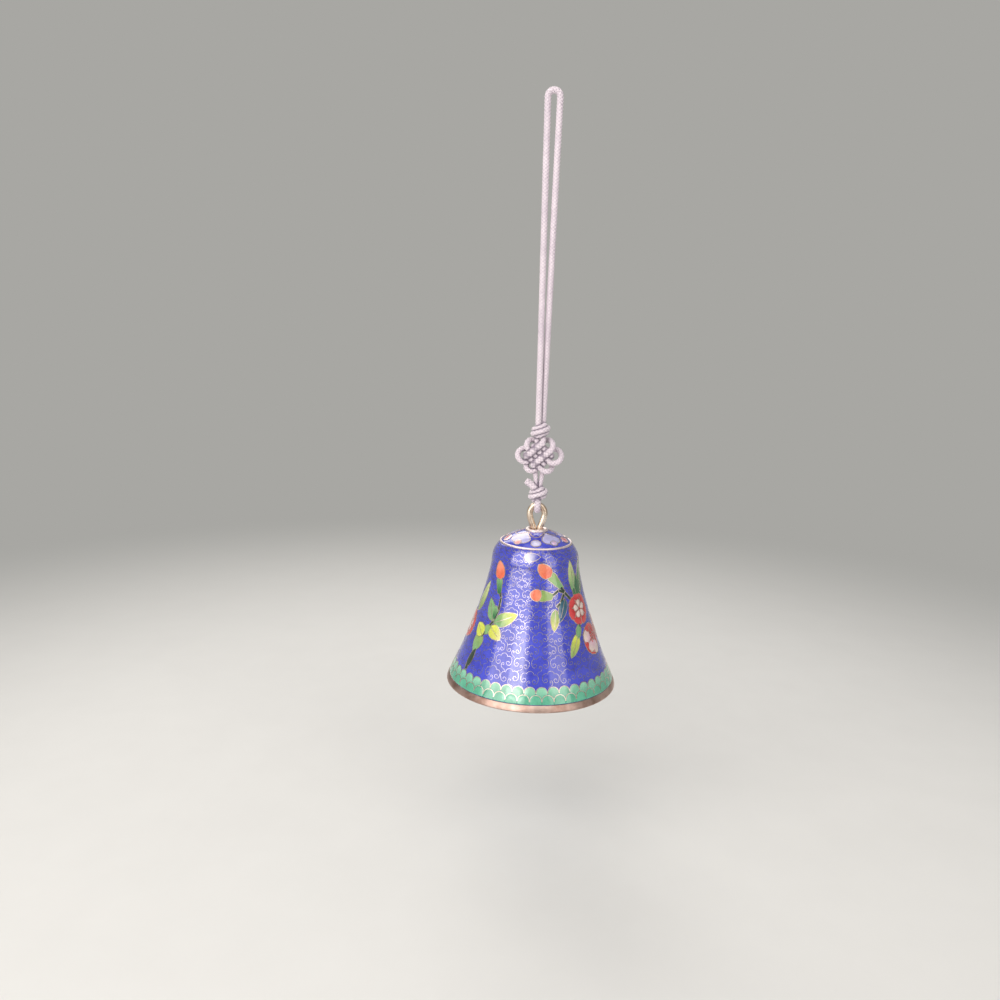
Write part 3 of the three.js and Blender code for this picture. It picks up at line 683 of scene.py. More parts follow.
def wall(s, proud=0.0):
    """Radius and height above the rim at a distance up the wall, and so far out from it."""
    r, z = np.interp(s, wall_s, wall_r), np.interp(s, wall_s, wall_z)
    return r + proud * np.interp(s, wall_s, slope_z), z - proud * np.interp(s, wall_s, slope_r)


def on_bell(azimuth, s, proud=0.0):
    r, z = wall(s, proud)
    a = math.radians(azimuth)
    return (r * math.sin(a), -r * math.cos(a), z + RIM_Z)


def turned(name, profile, sides=TURNED_SIDES):
    """A closed profile of radius and height above the rim, counter-clockwise, turned round the axis."""
    count = len(profile)
    points = [(r * math.sin(2 * math.pi * k / sides), -r * math.cos(2 * math.pi * k / sides), z + RIM_Z)
              for k in range(sides) for r, z in profile]
    faces = []
    for k in range(sides):
        a, b = k * count, (k + 1) % sides * count
        faces += [(a + i, b + i, b + (i + 1) % count, a + (i + 1) % count) for i in range(count)]
    return new_piece(name, points, faces)


def skin(start_s, stop_s, outside, inside, rows):
    """A layer of the wall as a closed profile."""
    steps = np.linspace(start_s, stop_s, rows)
    return [wall(s, outside) for s in steps] + [wall(s, inside) for s in reversed(steps)]


print("wall:", round(float(wall_s[-1]), 1), "mm from rim to crown")

# %% [markdown]
# ## Enamel
# Enamel is ground glass fused in a thin layer, then polished. It is glossy, a little cloudy, with
# fine grain and small pits that polishing opens. One recipe serves all colours: two tones mixed by
# a soft noise, a finer grain, pits from a cell pattern, and gloss that varies slightly.

# %% Enamel materials
def enamel(name, tones, cloud=210.0, gloss=(0.1, 0.22), glaze=None):
    paint = Shader(name)
    if glaze:
        colour = paint.put("ShaderNodeAttribute", attribute_name=glaze).outputs["Color"]
        shade = paint.put("ShaderNodeHueSaturation", {"Color": colour, "Value": 0.72, "Saturation": 1.08})
        tones = (shade.outputs["Color"], colour)
    soft = paint.spread(paint.noise(cloud, 5.0), 0.36, 0.66)
    grain = paint.spread(paint.noise(2600.0, 2.0), 0.35, 0.7, 0.0, 0.5)
    body = paint.blend(paint.math("MULTIPLY", paint.math("ADD", soft, grain), 0.66), *tones)
    pit = paint.put("ShaderNodeTexVoronoi", {"Vector": paint.place, "Scale": 620.0, "Randomness": 1.0})
    hole = paint.spread(pit.outputs["Distance"], 0.05, 0.12, 1.0, 0.0)
    rare = paint.math("GREATER_THAN", paint.noise(320.0, 1.0), 0.55)
    hole = paint.math("MULTIPLY", hole, rare)
    paint.set(base_color=paint.blend(paint.math("MULTIPLY", hole, 0.55), body, linear("#2a2440")))
    paint.set(roughness=paint.spread(paint.noise(480.0), 0.3, 0.7, *gloss))
    paint.set(ior=1.66, coat_weight=0.55, coat_roughness=0.05)
    wavy = paint.math("MULTIPLY", paint.noise(330.0, 2.0), 0.6)
    paint.bump(paint.math("SUBTRACT", wavy, hole), 0.16, 0.0001)
    return paint.material


blue_enamel = enamel("royal_blue_enamel", (linear("#2a31a6"), linear("#474fca")))
lining_enamel = enamel("sky_blue_counter_enamel", (linear("#2f76ad"), linear("#58a6cf")), gloss=(0.2, 0.4))
cell_enamel = enamel("cell_enamels", None, cloud=420.0, glaze="glaze")
print("enamels:", blue_enamel.name, lining_enamel.name, cell_enamel.name)

# %% [markdown]
# ## Gilt, brass and copper
# The wires and rim are gilded copper, bright where hands and polish reach and browner in the low
# places. The eye and clapper are brass. Each is a metal whose tone and gloss vary with noise, with
# fine scratches as bump.

# %% Metals
def metal(name, bright, dull, gloss, scale=300.0):
    paint = Shader(name)
    worn = paint.spread(paint.noise(scale, 5.0, 0.6), 0.35, 0.68)
    paint.set(base_color=paint.blend(worn, linear(bright), linear(dull)))
    paint.set(metallic=1.0, roughness=paint.spread(paint.noise(scale * 2.2, 4.0), 0.3, 0.72, *gloss))
    stretched = paint.put("ShaderNodeMapping", {"Vector": paint.place, "Scale": (3000.0, 3000.0, 14000.0)})
    scratches = paint.noise(1.0, 2.0, 0.6, stretched.outputs["Vector"])
    paint.bump(scratches, 0.12, 0.00006)
    return paint.material


gilt_wire = metal("gilt_wire", "#e6d9cf", "#b19d90", (0.24, 0.42), 500.0)
gilt_rim = metal("gilt_rim", "#d6bbb0", "#98786c", (0.3, 0.46), 160.0)
brass = metal("old_brass", "#f4e6d6", "#bba18a", (0.22, 0.42), 260.0)
bare_copper = metal("bare_copper", "#c98a5e", "#7b4529", (0.3, 0.55), 200.0)
fine_gilt = metal("fine_gilt_wire", "#b9b2c6", "#7c758c", (0.18, 0.32), 500.0)
pale_gilt = metal("pale_gilt", "#f4e7e6", "#dac8c8", (0.4, 0.6), 300.0)
metals = (gilt_wire, gilt_rim, brass, bare_copper, fine_gilt, pale_gilt)
print("metals:", *(finish.name for finish in metals))

# %% [markdown]
# ## Blue ground, rim and lining
# The blue enamel covers the whole skirt up to the shoulder, and the lappets of the border lie on its
# foot. The rim is a gilt ring with a soft bead. Inside, a thin coat of blue counter-enamel keeps the
# copper from warping in the kiln.

# %% Turned layers
ENAMEL_T, SEAM, SHOULDER_DEG, RING_SEAT, GROUND_ROWS = 0.8, 0.02, 36, 0.1, 72
BAND_H, BAND_W, BAND_EDGE, BAND_BEVEL, BEAD_RISE = 1.9, 2.35, 0.12, 0.1, 0.13
LIP_H, LIP_T, BEAD_FROM, BEAD_POINTS = 0.55, 0.84, 0.06, 12
LINING_OUT, LINING_IN, LINING_FOOT, LINING_END, LINING_ROWS = 1.7, 2.05, 1.45, 3.4, 60
shoulder_s = up_dome(math.radians(SHOULDER_DEG))
layer = skin(up_wall(BAND_H + SEAM), shoulder_s - RING_SEAT, 0, -ENAMEL_T, GROUND_ROWS)
settle(turned("blue_ground", layer), "bell", blue_enamel, ("skirt_enamel",))
band_top, inner_foot = up_wall(BAND_H), RIM_R - BAND_W
band = [(inner_foot, BAND_EDGE), (inner_foot + BAND_BEVEL, 0.0), (RIM_R - BAND_EDGE, 0.0)]
band += [wall(band_top * f, BEAD_RISE * math.sin(math.pi * f) + SEAM)
         for f in np.linspace(BEAD_FROM, 1, BEAD_POINTS)]
band += [wall(band_top, SEAM - ENAMEL_T), (skirt_r(LIP_H) - LIP_T, LIP_H)]
band += [(inner_foot + BAND_BEVEL, LIP_H), (inner_foot, LIP_H - BAND_BEVEL)]
settle(turned("gilt_rim_ring", band), "bell", gilt_rim, ("rim_band",))
layer = skin(up_wall(LINING_FOOT), float(wall_s[-1]) - LINING_END, -LINING_OUT, -LINING_IN, LINING_ROWS)
settle(turned("counter_enamel", layer), "bell", lining_enamel, ("inner_enamel",))

# %% [markdown]
# ## Cells and their wires
# A cell is a patch of enamel inside a bent wire. Each cell here is a thin closed lens: its outline is
# drawn flat in millimetres, laid on the wall, raised a little in its middle and sunk at its back.
# The glaze colour runs from one tone at its foot to another at its tip, as a shaded cell has.

# %% Cell maker
CELL_EDGE, CELL_RISE, CELL_BACK, WIRE_PROUD = 0.06, 0.07, -0.2, 0.03
CELL_RINGS = (0.4, 0.75, 0.93, 1.0)


class Cells:
    """Collects cells and wires that are drawn on the wall."""

    def __init__(self):
        self.points, self.faces, self.colours = [], [], []
        self.wires, self.wire_edges, self.outs = [], [], []

    def wire(self, line, closed=False, proud=WIRE_PROUD):
        """A wire through places given as azimuth and distance up the wall."""
        first = len(self.wires)
        self.wires += [on_bell(a, s, proud) for a, s in line]
        self.outs += [np.subtract(on_bell(a, s, 1.0), on_bell(a, s)) for a, s in line]
        last = len(self.wires) - 1
        self.wire_edges += [(i, i + 1) for i in range(first, last)] + ([(last, first)] if closed else [])

    def cell(self, outline, place, tone, lift=0.0, edged=True):
        """outline is a loop in millimetres, place lays it on the wall, tone gives its glaze."""
        first = len(self.points)
        middle = np.mean(outline, axis=0)
        count = len(outline)
        rows = [(middle, CELL_EDGE + CELL_RISE + lift)]
        for f in CELL_RINGS:
            height = CELL_EDGE + CELL_RISE * (1 - f * f) + lift
            rows += [(middle + (p - middle) * f, height) for p in outline]
        rows += [(p, CELL_BACK) for p in outline] + [(middle, CELL_BACK)]
        for p, proud in rows:
            azimuth, s = place(p)
            self.points.append(on_bell(azimuth, s, proud))
            self.colours.append((*tone(p), 1.0))
        back = first + 1 + (len(CELL_RINGS) + 1) * count
        for i in range(count):
            j = (i + 1) % count
            self.faces.append((first, first + 1 + i, first + 1 + j))
            for k in range(len(CELL_RINGS)):
                a = first + 1 + k * count
                self.faces.append((a + i, a + count + i, a + count + j, a + j))
            self.faces.append((back, back - count + j, back - count + i))
        if edged:
            self.wire([place(p) for p in outline], closed=True, proud=WIRE_PROUD + lift)

    def enamel_piece(self, name):
        piece = new_piece(name, self.points, self.faces)
        glaze = piece.data.color_attributes.new("glaze", "FLOAT_COLOR", "POINT")
        glaze.data.foreach_set("color", np.array(self.colours).ravel())
        return piece

    def wire_piece(self, name):
        piece = new_piece(name, self.wires, [], self.wire_edges)
        outward = piece.data.attributes.new("out", "FLOAT_VECTOR", "POINT")
        outward.data.foreach_set("vector", np.array(self.outs).ravel())
        return piece


def mixed(first, second, f):
    f = min(1, max(0, f))
    return [a + (b - a) * f for a, b in zip(first, second)]


print("cells rise", CELL_RISE, "mm in their middle")

# %% [markdown]
# ## Two small trees for the wires and for what goes round the bell
# The wires stand on edge in the enamel, and the last polish grinds both level. So a wire shows a flat
# top that faces as the wall does, and it glints only where the wall has its gloss. The wire tree
# gives each drawn line such a section, turned by the wall's own direction out. The ring tree sets
# copies of one piece round the axis: one lappet becomes a border, one petal a crown.

# %% Wire tree and ring tree
WIRE_SUNK, EIGHTH_TURN = 0.6, 0.125
fence = Nodes("Bent wire", Thickness="Float", Gilt="Material")
line = fence.put("GeometryNodeMeshToCurve", {"Mesh": fence.given["Geometry"]}).outputs["Curve"]
heading = fence.put("GeometryNodeInputTangent").outputs["Tangent"]
line = fence.store(line, "heading", heading, "FLOAT_VECTOR")
line = fence.store(line, "middle", fence.put("GeometryNodeInputPosition").outputs[0], "FLOAT_VECTOR")
section = fence.put("GeometryNodeCurvePrimitiveCircle", {"Resolution": 4, "Radius": SEED_R})
share = fence.put("GeometryNodeSplineParameter").outputs["Factor"]
section = fence.store(section.outputs["Curve"], "around", share)
bent = fence.put("GeometryNodeCurveToMesh", {"Curve": line, "Profile Curve": section, "Fill Caps": True})
wire_way, out_way = (fence.named(name, "FLOAT_VECTOR") for name in ("heading", "out"))
aside_way = fence.vector("NORMALIZE", fence.vector("CROSS_PRODUCT", out_way, wire_way))
top_way = fence.vector("CROSS_PRODUCT", wire_way, aside_way)
corner = fence.math("MULTIPLY", fence.math("ADD", fence.named("around"), EIGHTH_TURN), 2 * math.pi)
reach = fence.math("MULTIPLY", fence.given["Thickness"], math.sqrt(0.5))
aside_by = fence.math("MULTIPLY", reach, fence.math("COSINE", corner))
top_by = fence.math("MULTIPLY", reach, fence.math("MULTIPLY", fence.math("SINE", corner), WIRE_SUNK))
spot = fence.vector("ADD", fence.scaled(aside_way, aside_by), fence.scaled(top_way, top_by))
spot = fence.vector("ADD", fence.named("middle", "FLOAT_VECTOR"), spot)
bent = fence.put("GeometryNodeSetPosition", {"Geometry": bent.outputs["Mesh"], "Position": spot})
fence.end(bent.outputs["Geometry"], fence.given["Gilt"])

around = Nodes("Set round the bell", Count="Int", Paint="Material")
seats = around.put("GeometryNodePoints", {"Count": around.given["Count"]}).outputs[0]
step = around.math("DIVIDE", 2 * math.pi, around.given["Count"])
seat_no = around.put("GeometryNodeInputIndex").outputs[0]
turn_by = around.math("MULTIPLY", seat_no, step)
spin = around.put("ShaderNodeCombineXYZ", {"Z": turn_by}).outputs[0]
copies = around.put("GeometryNodeInstanceOnPoints", {
    "Points": seats, "Instance": around.given["Geometry"], "Rotation": spin})
around.end(copies.outputs["Instances"], around.given["Paint"])


def wired(piece, thickness):
    return fence.bake(piece, Thickness=thickness * MM, Gilt=gilt_wire)


def set_round(piece, count, material):
    return around.bake(piece, Count=count, Paint=material)


print("trees:", fence.tree.name, "and", around.tree.name)

# %% [markdown]
# ## Lappet border
# Above the rim stands a border of mint green lappets, like the scales of a fish, in two rows of 44.
# The lower row covers the feet of the upper one and is set half a lappet aside. Each has its wire.

# %% Lappets
LAPPETS, LAPPET_FOOT, LAPPET_SIDE, LAPPET_ROUND, LAPPET_STEPS = 44, 2.0, 0.97, 0.8, 14
UPPER_ROW, LOWER_ROW, ROW_LIFT, ARCH_PROUD, LAPPET_WIRE = (4.75, 6.35), (2.7, 4.35), 0.05, 0.05, 0.2
MINT, PALE_MINT, SEA = linear("#63b596"), linear("#9ad6b6"), linear("#3a957f")


def lappet(cells, azimuth, row, tones, lift):
    """row has the heights above the rim of the valleys between the lappets and of their tops."""
    half = 180 / LAPPETS * LAPPET_SIDE
    foot, valley, top = (up_wall(z) for z in (LAPPET_FOOT, *row))
    arch = [(half * math.cos(a), valley + (top - valley) * math.sin(a) ** LAPPET_ROUND)
            for a in np.linspace(0, math.pi, LAPPET_STEPS + 1)]
    outline = [np.array(p) for p in [(-half, foot), (0, foot), (half, foot)] + arch]
    tone = lambda p: mixed(*tones, (p[1] - foot) / (top - foot))
    cells.cell(outline, lambda p: (azimuth + p[0], p[1]), tone, lift, edged=False)
    cells.wire([(azimuth + a, s) for a, s in arch], proud=ARCH_PROUD + lift)


border = Cells()
lappet(border, 0, UPPER_ROW, (SEA, PALE_MINT), 0.0)
lappet(border, 180 / LAPPETS, LOWER_ROW, (MINT, MINT), ROW_LIFT)
lappets = set_round(border.enamel_piece("lappets"), LAPPETS, cell_enamel)
settle(lappets, "bell", cell_enamel, ("lappet_enamel",))
lappet_wires = set_round(wired(border.wire_piece("lappet_wires"), LAPPET_WIRE), LAPPETS, gilt_wire)
settle(lappet_wires, "bell", gilt_wire, ("lappet_wire",), smooth=False)

# %% [markdown]
# ## Cloud scrolls
# Small cloud-shaped wires hold the blue ground in the kiln. Each is three lobes with a curl at both
# ends. The clouds sit in rows like bricks, smaller towards the shoulder because the same number goes
# round. They were bent by hand, so each differs a little in size, tilt and place. Three columns are
# drawn, and the ring tree repeats them.

# %% Scroll wires
CLOUDS_ROUND, COLUMNS_DRAWN, CLOUD_UNITS, ROW_RATIO = 24, 3, 4.9, 0.7
CLOUD_FOOT, CLOUD_TOP_GAP, CLOUD_WIRE, CLOUD_PROUD = 8.6, 0.9, 0.17, -0.035
SIZE_VARIES, TILT_VARIES, PLACE_VARIES = 0.07, 0.1, 0.16
hand = np.random.default_rng(11)


def curl(centre, from_r, to_r, from_deg, to_deg, count):
    """A spiral line round a centre."""
    radii, angles = np.linspace(from_r, to_r, count), np.radians(np.linspace(from_deg, to_deg, count))
    return [(centre[0] + r * math.cos(a), centre[1] + r * math.sin(a)) for r, a in zip(radii, angles)]


def cloud():
    """A cloud scroll, about 4.6 wide and 3.6 high, as a flat line: a curl, a lobe and half the crest,
    and then the same from right to left."""
    half = curl((-1.3, -0.55), 0.2, 0.75, 560, 180, 12)
    half += arc((-1.25, 0.15), 0.9, 195, 62, 5) + arc((0, 0.72), 0.95, 150, 90, 4)
    return half + [(-x, y) for x, y in reversed(half[:-1])]


def cloud_tail():
    """The tail of a cloud: a curl that swings down between the clouds below."""
    tail_line = curl((0, -1.0), 0.12, 0.42, 330, 0, 8)
    return tail_line + arc((-0.3, -1.3), 0.75, 10, -75, 4) + arc((0.1, -2.75), 0.75, 105, 170, 3)


scrolls = Cells()
column = 360 / CLOUDS_ROUND
s, row = up_wall(CLOUD_FOOT), 0
while s < shoulder_s - CLOUD_TOP_GAP:
    unit = wall(s)[0] * math.radians(column) / CLOUD_UNITS
    for k in range(COLUMNS_DRAWN):
        middle_deg = column * (k + 0.5 * (row % 2))
        size, tilt = 1 + SIZE_VARIES * hand.standard_normal(), TILT_VARIES * hand.standard_normal()
        slip_x, slip_y = PLACE_VARIES * hand.standard_normal(2)
        turn_x, turn_y = size * math.cos(tilt), size * math.sin(tilt)
        flip = 1 if (row + k) % 2 else -1
        for scroll in (cloud(), cloud_tail()):
            bent_line = [(x * turn_x - y * turn_y + slip_x, x * turn_y + y * turn_x + slip_y)
                         for x, y in scroll]
            laid_line = [(middle_deg + flip * x * column / CLOUD_UNITS, s + y * unit) for x, y in bent_line]
            scrolls.wire(laid_line, proud=CLOUD_PROUD)
    s, row = s + ROW_RATIO * CLOUD_UNITS * unit, row + 1
scroll_wires = wired(scrolls.wire_piece("cloud_wires"), CLOUD_WIRE)
set_round(scroll_wires, CLOUDS_ROUND // COLUMNS_DRAWN, fine_gilt)
settle(scroll_wires, "bell", fine_gilt, smooth=False)
print("clouds:", row, "rows of", CLOUDS_ROUND)

# %% [markdown]
# ## Flower sprays
# Two sprays of flowers and buds climb the front, and the same pair goes on the back. Each leaf, bud
# and petal is a cell from a foot to a tip, with its own width. Stems are narrow dark cells.

# %% Leaves, buds, petals and stems
CALYX_FOOT, CALYX_MOUTH = 0.45, 0.75


def calyx(t):
    """A cup that widens up to its mouth and closes round over it."""
    if t < CALYX_MOUTH:
        return CALYX_FOOT + (1 - CALYX_FOOT) * t / CALYX_MOUTH
    return max(0, math.cos((t - CALYX_MOUTH) * 2 * math.pi)) ** 0.5


# How wide each form is from its foot, at 0, to its tip, at 1.
FORMS = {
    "leaf": lambda t: math.sin(math.pi * t ** 0.8) ** 0.7 * (1 - 0.12 * t),
    "bud": lambda t: math.sin(math.pi * t ** 0.75) ** 0.55,
    "calyx": calyx,
    "petal": lambda t: math.sin(math.pi * t ** 1.5) ** 0.6,
}
GLAZE = {name: linear(value) for name, value in {
    "orange": "#f6997b", "flame": "#ee765a", "yellow": "#dce364", "lime": "#93b066", "leaf": "#84b27c",
    "pine": "#2f7043", "teal": "#2d5f70", "pale": "#d2dd9a", "straw": "#d8d776", "slate": "#46648c",
    "red": "#c62c31", "rose": "#dd4f50", "pink": "#f0c4d6", "cream": "#f2ded4", "stem": "#263c2c",
    "lilac": "#c0bcea", "painted_glint_white": "#e6e3f3", "blue": "#4a50bb"}.items()}
TONE_FROM, TONE_RATE, RIB_MARKS, RIB_PROUD = 0.25, 1.8, np.linspace(0.05, 0.8, 7), 0.1
STEM_LIFT, DISC_R, DISC_STEPS, DISC_LIFT = -0.02, 0.7, 18, -0.01
OUTER_FROM, OUTER_WIDTH, OUTER_LIFT, FLOWER_FLAT = 0.4, 5.9, 0.02, 0.94
HEART_PETALS, HEART_FROM, HEART_WIDTH, HEART_LIFT = 5, 0.08, 0.68, 0.07


def mm_per_deg(s):
    """Millimetres round the wall for one degree of azimuth, at a distance up the wall."""
    return math.radians(1) * float(wall(s)[0])


def laid(foot, tip):
    """The way from foot to tip in flat millimetres, and a function that lays such places on the wall."""
    (a0, z0), (a1, z1) = foot, tip
    s0, s1 = up_wall(z0), up_wall(z1)
    per_deg = mm_per_deg((s0 + s1) / 2)
    return np.array(((a1 - a0) * per_deg, s1 - s0)), lambda p: (a0 + p[0] / per_deg, s0 + p[1])


def shape(cells, form, foot, tip, width, tones, rib=False, steps=9, lift=0.0):
    """A cell from foot to tip, each given as azimuth and height above the rim."""
    axis, place = laid(foot, tip)
    length = np.linalg.norm(axis)
    axis, side = axis / length, np.array((-axis[1], axis[0])) / length
    marks = [k / steps for k in range(steps + 1)]
    edge_of = [axis * length * t - side * width / 2 * FORMS[form](t) for t in marks]
    other = [axis * length * t + side * width / 2 * FORMS[form](t) for t in marks[-2:0:-1]]
    low_tone, high_tone = (GLAZE[name] for name in tones)
    tone = lambda p: mixed(low_tone, high_tone, (p.dot(axis) / length - TONE_FROM) * TONE_RATE)
    cells.cell(edge_of + other, place, tone, lift)
    if rib:
        cells.wire([place(axis * length * t) for t in RIB_MARKS], proud=RIB_PROUD + lift)


def stem(cells, *places, width):
    for foot, tip in zip(places, places[1:]):
        way, place = laid(foot, tip)
        aside = np.array((-way[1], way[0])) / np.linalg.norm(way) * width / 2
        outline = [-aside, way * 0.5 - aside, way - aside, way + aside, way * 0.5 + aside, aside]
        cells.cell(outline, place, lambda p: GLAZE["stem"], STEM_LIFT)


def flower(cells, azimuth, z, radius, outer, inner, turn_deg, petals=7, heart=0.58):
    """A red disc under a ring of outer petals and a ring of heart petals."""
    middle_s = up_wall(z)
    per_deg = mm_per_deg(middle_s)
    disc = [np.array(p) for p in arc((0, 0), radius * DISC_R, 0, 360, DISC_STEPS)[:-1]]
    place = lambda p: (azimuth + p[0] / per_deg, middle_s + p[1])
    cells.cell(disc, place, lambda p: GLAZE["red"], DISC_LIFT, edged=False)
    for count, r0, r1, width, tones, lift in (
            (petals, OUTER_FROM, 1.0, OUTER_WIDTH / petals, outer, OUTER_LIFT),
            (HEART_PETALS, HEART_FROM, heart, heart * HEART_WIDTH, inner, HEART_LIFT)):
        for k in range(count):
            a = math.radians(turn_deg + 360 * k / count)
            out_x, out_z = radius * math.cos(a) / per_deg, radius * math.sin(a) * FLOWER_FLAT
            foot, tip = ((azimuth + out_x * f, z + out_z * f) for f in (r0, r1))
            shape(cells, "petal", foot, tip, radius * width, tones, lift=lift, steps=8)


print("forms:", *FORMS, "in", len(GLAZE), "glazes")

# %% Left spray and right spray
SPRAY_WIRE, SPRAY_PAIRS = 0.17, 2


def left_spray(cells):
    stem(cells, (-57, 6.6), (-57.5, 8.6), width=1.2)
    shape(cells, "leaf", (-57.5, 7.2), (-53.5, 13.4), 2.2, ("stem", "stem"))
    stem(cells, (-53, 15.5), (-46, 19.5), (-41.5, 21.4), (-38.5, 24.5), (-39, 28), (-43, 29.5), width=0.7)
    shape(cells, "calyx", (-42.6, 28.4), (-48.3, 33.4), 2.6, ("pine", "leaf"))
    shape(cells, "bud", (-46.6, 32.6), (-51.5, 37.9), 3.9, ("flame", "orange"), lift=0.03)
    shape(cells, "leaf", (-78, 21.4), (-65.5, 31.2), 4.0, ("lime", "pale"), rib=True)
    shape(cells, "leaf", (-42.5, 21.2), (-54.5, 27.0), 3.6, ("leaf", "leaf"), rib=True)
    shape(cells, "leaf", (-43, 21.6), (-42.5, 25.6), 2.6, ("pine", "leaf"))
    shape(cells, "leaf", (-41.5, 20.8), (-15.5, 24.4), 4.0, ("leaf", "yellow"), rib=True)
    shape(cells, "leaf", (-52.6, 17.5), (-39, 20.2), 2.8, ("leaf", "lime"))
    shape(cells, "leaf", (-44, 19.8), (-29.5, 17.0), 4.2, ("yellow", "straw"), rib=True, lift=0.03)
    shape(cells, "leaf", (-53.0, 17.4), (-56.5, 11.6), 4.4, ("lime", "leaf"))
    shape(cells, "leaf", (-51, 16.6), (-62.5, 19.4), 4.4, ("yellow", "yellow"), rib=True, lift=0.05)
    flower(cells, -84, 17.2, 4.4, ("red", "rose"), ("cream", "pink"), turn_deg=20)


def right_spray(cells):
    # Painted highlight: a white glint on the shoulder, drawn as a pale cell that fades into the blue.
    shape(cells, "leaf", (-15.5, 40.0), (7.5, 40.3), 2.7, ("painted_glint_white", "blue"))
    stem(cells, (20.5, 29.6), (30, 31), (38, 30.2), (48, 27.5), width=0.8)
    stem(cells, (33, 31.8), (38, 30.2), width=1.0)
    stem(cells, (26, 26.5), (31, 27.5), (37, 29.8), width=0.8)
    stem(cells, (52, 19.6), (54, 22.2), width=0.8)
    shape(cells, "calyx", (36, 31.2), (18, 35.9), 2.8, ("leaf", "lime"))
    shape(cells, "bud", (20.5, 34.8), (4.5, 38.4), 3.7, ("flame", "orange"), lift=0.03)
    shape(cells, "calyx", (23.5, 29.4), (4.5, 29.9), 3.3, ("lime", "lime"))
    shape(cells, "bud", (9.0, 29.7), (-4.5, 30.2), 3.4, ("orange", "flame"), lift=0.03)
    shape(cells, "leaf", (60, 27.0), (60, 34.6), 4.6, ("pine", "pine"))
    shape(cells, "leaf", (57, 28.8), (50.5, 38.8), 3.4, ("leaf", "pale"), rib=True)
    shape(cells, "leaf", (67, 28.6), (78, 38.6), 3.4, ("pine", "leaf"), rib=True)
    shape(cells, "leaf", (37.5, 28.6), (27.5, 22.4), 3.0, ("teal", "slate"), rib=True)
    shape(cells, "leaf", (24.5, 26.0), (21, 20.2), 2.8, ("lime", "straw"), rib=True)
    shape(cells, "leaf", (52, 20.9), (45, 16.8), 2.4, ("leaf", "leaf"))
    shape(cells, "leaf", (47.5, 18.6), (34.6, 12.8), 3.2, ("yellow", "lime"), rib=True)
    flower(cells, 67.5, 15.8, 4.6, ("red", "rose"), ("rose", "rose"), petals=5, heart=0.3, turn_deg=50)
    pink_petals = ((66.6, 16.0), (54.0, 17.6)), ((66.8, 15.7), (60.5, 12.6)), ((67.2, 15.6), (73.0, 11.6))
    for foot, tip in pink_petals:
        shape(cells, "petal", foot, tip, 3.9, ("pink", "cream"), lift=0.06)
    flower(cells, 57.5, 24.9, 4.7, ("red", "rose"), ("cream", "cream"), turn_deg=90)


sprays = Cells()
left_spray(sprays)
right_spray(sprays)
spray_cells = set_round(sprays.enamel_piece("spray_cells"), SPRAY_PAIRS, cell_enamel)
settle(spray_cells, "bell", cell_enamel)
spray_wires = set_round(wired(sprays.wire_piece("spray_wires"), SPRAY_WIRE), SPRAY_PAIRS, gilt_wire)
settle(spray_wires, "bell", gilt_wire, smooth=False)

# %% [markdown]
# ## Crown
# Above the shoulder ring the dome is blue again, with five pale petals round the collar. A scalloped
# wire joins their feet and bulges between them. A small oval sits on the end of each petal, and one
# more between each pair.

# %% Crown enamel and petals
COLLAR_R, COLLAR_GAP, CROWN_ROWS, PETALS, PETAL_W = 3.2, 0.1, 28, 5, 5.4
PETAL_FROM_R, PETAL_TO_R, SCALLOP_R, SCALLOP_DEPTH, SCALLOP_POINTS = 4.0, 9.2, 5.0, 1.2, 19
OVAL_WIDE, OVAL_STEPS, OVAL_LIFT, CROWN_WIRE = 1.15, 15, 0.04, 0.24
BETWEEN_R, BETWEEN_SIZE, END_R, END_SIZE = 8.5, 1.25, 8.7, 0.95
collar_s = up_dome(math.acos((COLLAR_R + COLLAR_GAP) / SHOULDER_R))
layer = skin(shoulder_s + RING_SEAT, collar_s, 0, -ENAMEL_T, CROWN_ROWS)
settle(turned("crown_ground", layer), "bell", blue_enamel, ("crown_enamel",))
petal_turn = 180 / PETALS


def wall_height(radius):
    """Height above the rim of the place on the dome at this radius."""
    return SKIRT_H + DOME_H * math.sqrt(1 - (radius / SHOULDER_R) ** 2)


def oval(cells, azimuth, radius, size, tones):
    s0, per_deg = up_wall(wall_height(radius)), math.radians(1) * radius
    outline = [np.array((x * OVAL_WIDE, y)) for x, y in arc((0, 0), size, 0, 360, OVAL_STEPS)[:-1]]
    tone = lambda p: mixed(GLAZE[tones[0]], GLAZE[tones[1]], np.linalg.norm(p) / size)
    cells.cell(outline, lambda p: (azimuth + p[0] / per_deg, s0 + p[1]), tone, OVAL_LIFT)


crown_work = Cells()
petal_foot, petal_tip = ((petal_turn, wall_height(r)) for r in (PETAL_FROM_R, PETAL_TO_R))
shape(crown_work, "petal", petal_foot, petal_tip, PETAL_W, ("lilac", "lilac"))
scallop = [(a, SCALLOP_R + SCALLOP_DEPTH * math.cos(math.radians(a * PETALS)))
           for a in np.linspace(-petal_turn, petal_turn, SCALLOP_POINTS)]
crown_work.wire([(a, up_wall(wall_height(r))) for a, r in scallop])
crown_cells = set_round(crown_work.enamel_piece("crown_cells"), PETALS, cell_enamel)
settle(crown_cells, "bell", cell_enamel)
crown_wires = set_round(wired(crown_work.wire_piece("crown_wires"), CROWN_WIRE), PETALS, gilt_wire)
settle(crown_wires, "bell", gilt_wire, smooth=False)
dots = Cells()
for k in range(PETALS):
    at = 2 * petal_turn * k
    # The two ovals at the front are paler than the rest, a painted reflection.
    oval(dots, at, BETWEEN_R, BETWEEN_SIZE, ("painted_glint_white", "lilac") if k == 0 else ("rose", "pink"))
    oval(dots, at + petal_turn, END_R, END_SIZE, ("pink", "lilac") if k == 0 else ("orange", "pink"))
settle(dots.enamel_piece("crown_dots"), "bell", cell_enamel)
settle(wired(dots.wire_piece("crown_dot_wires"), CROWN_WIRE), "bell", gilt_wire, smooth=False)

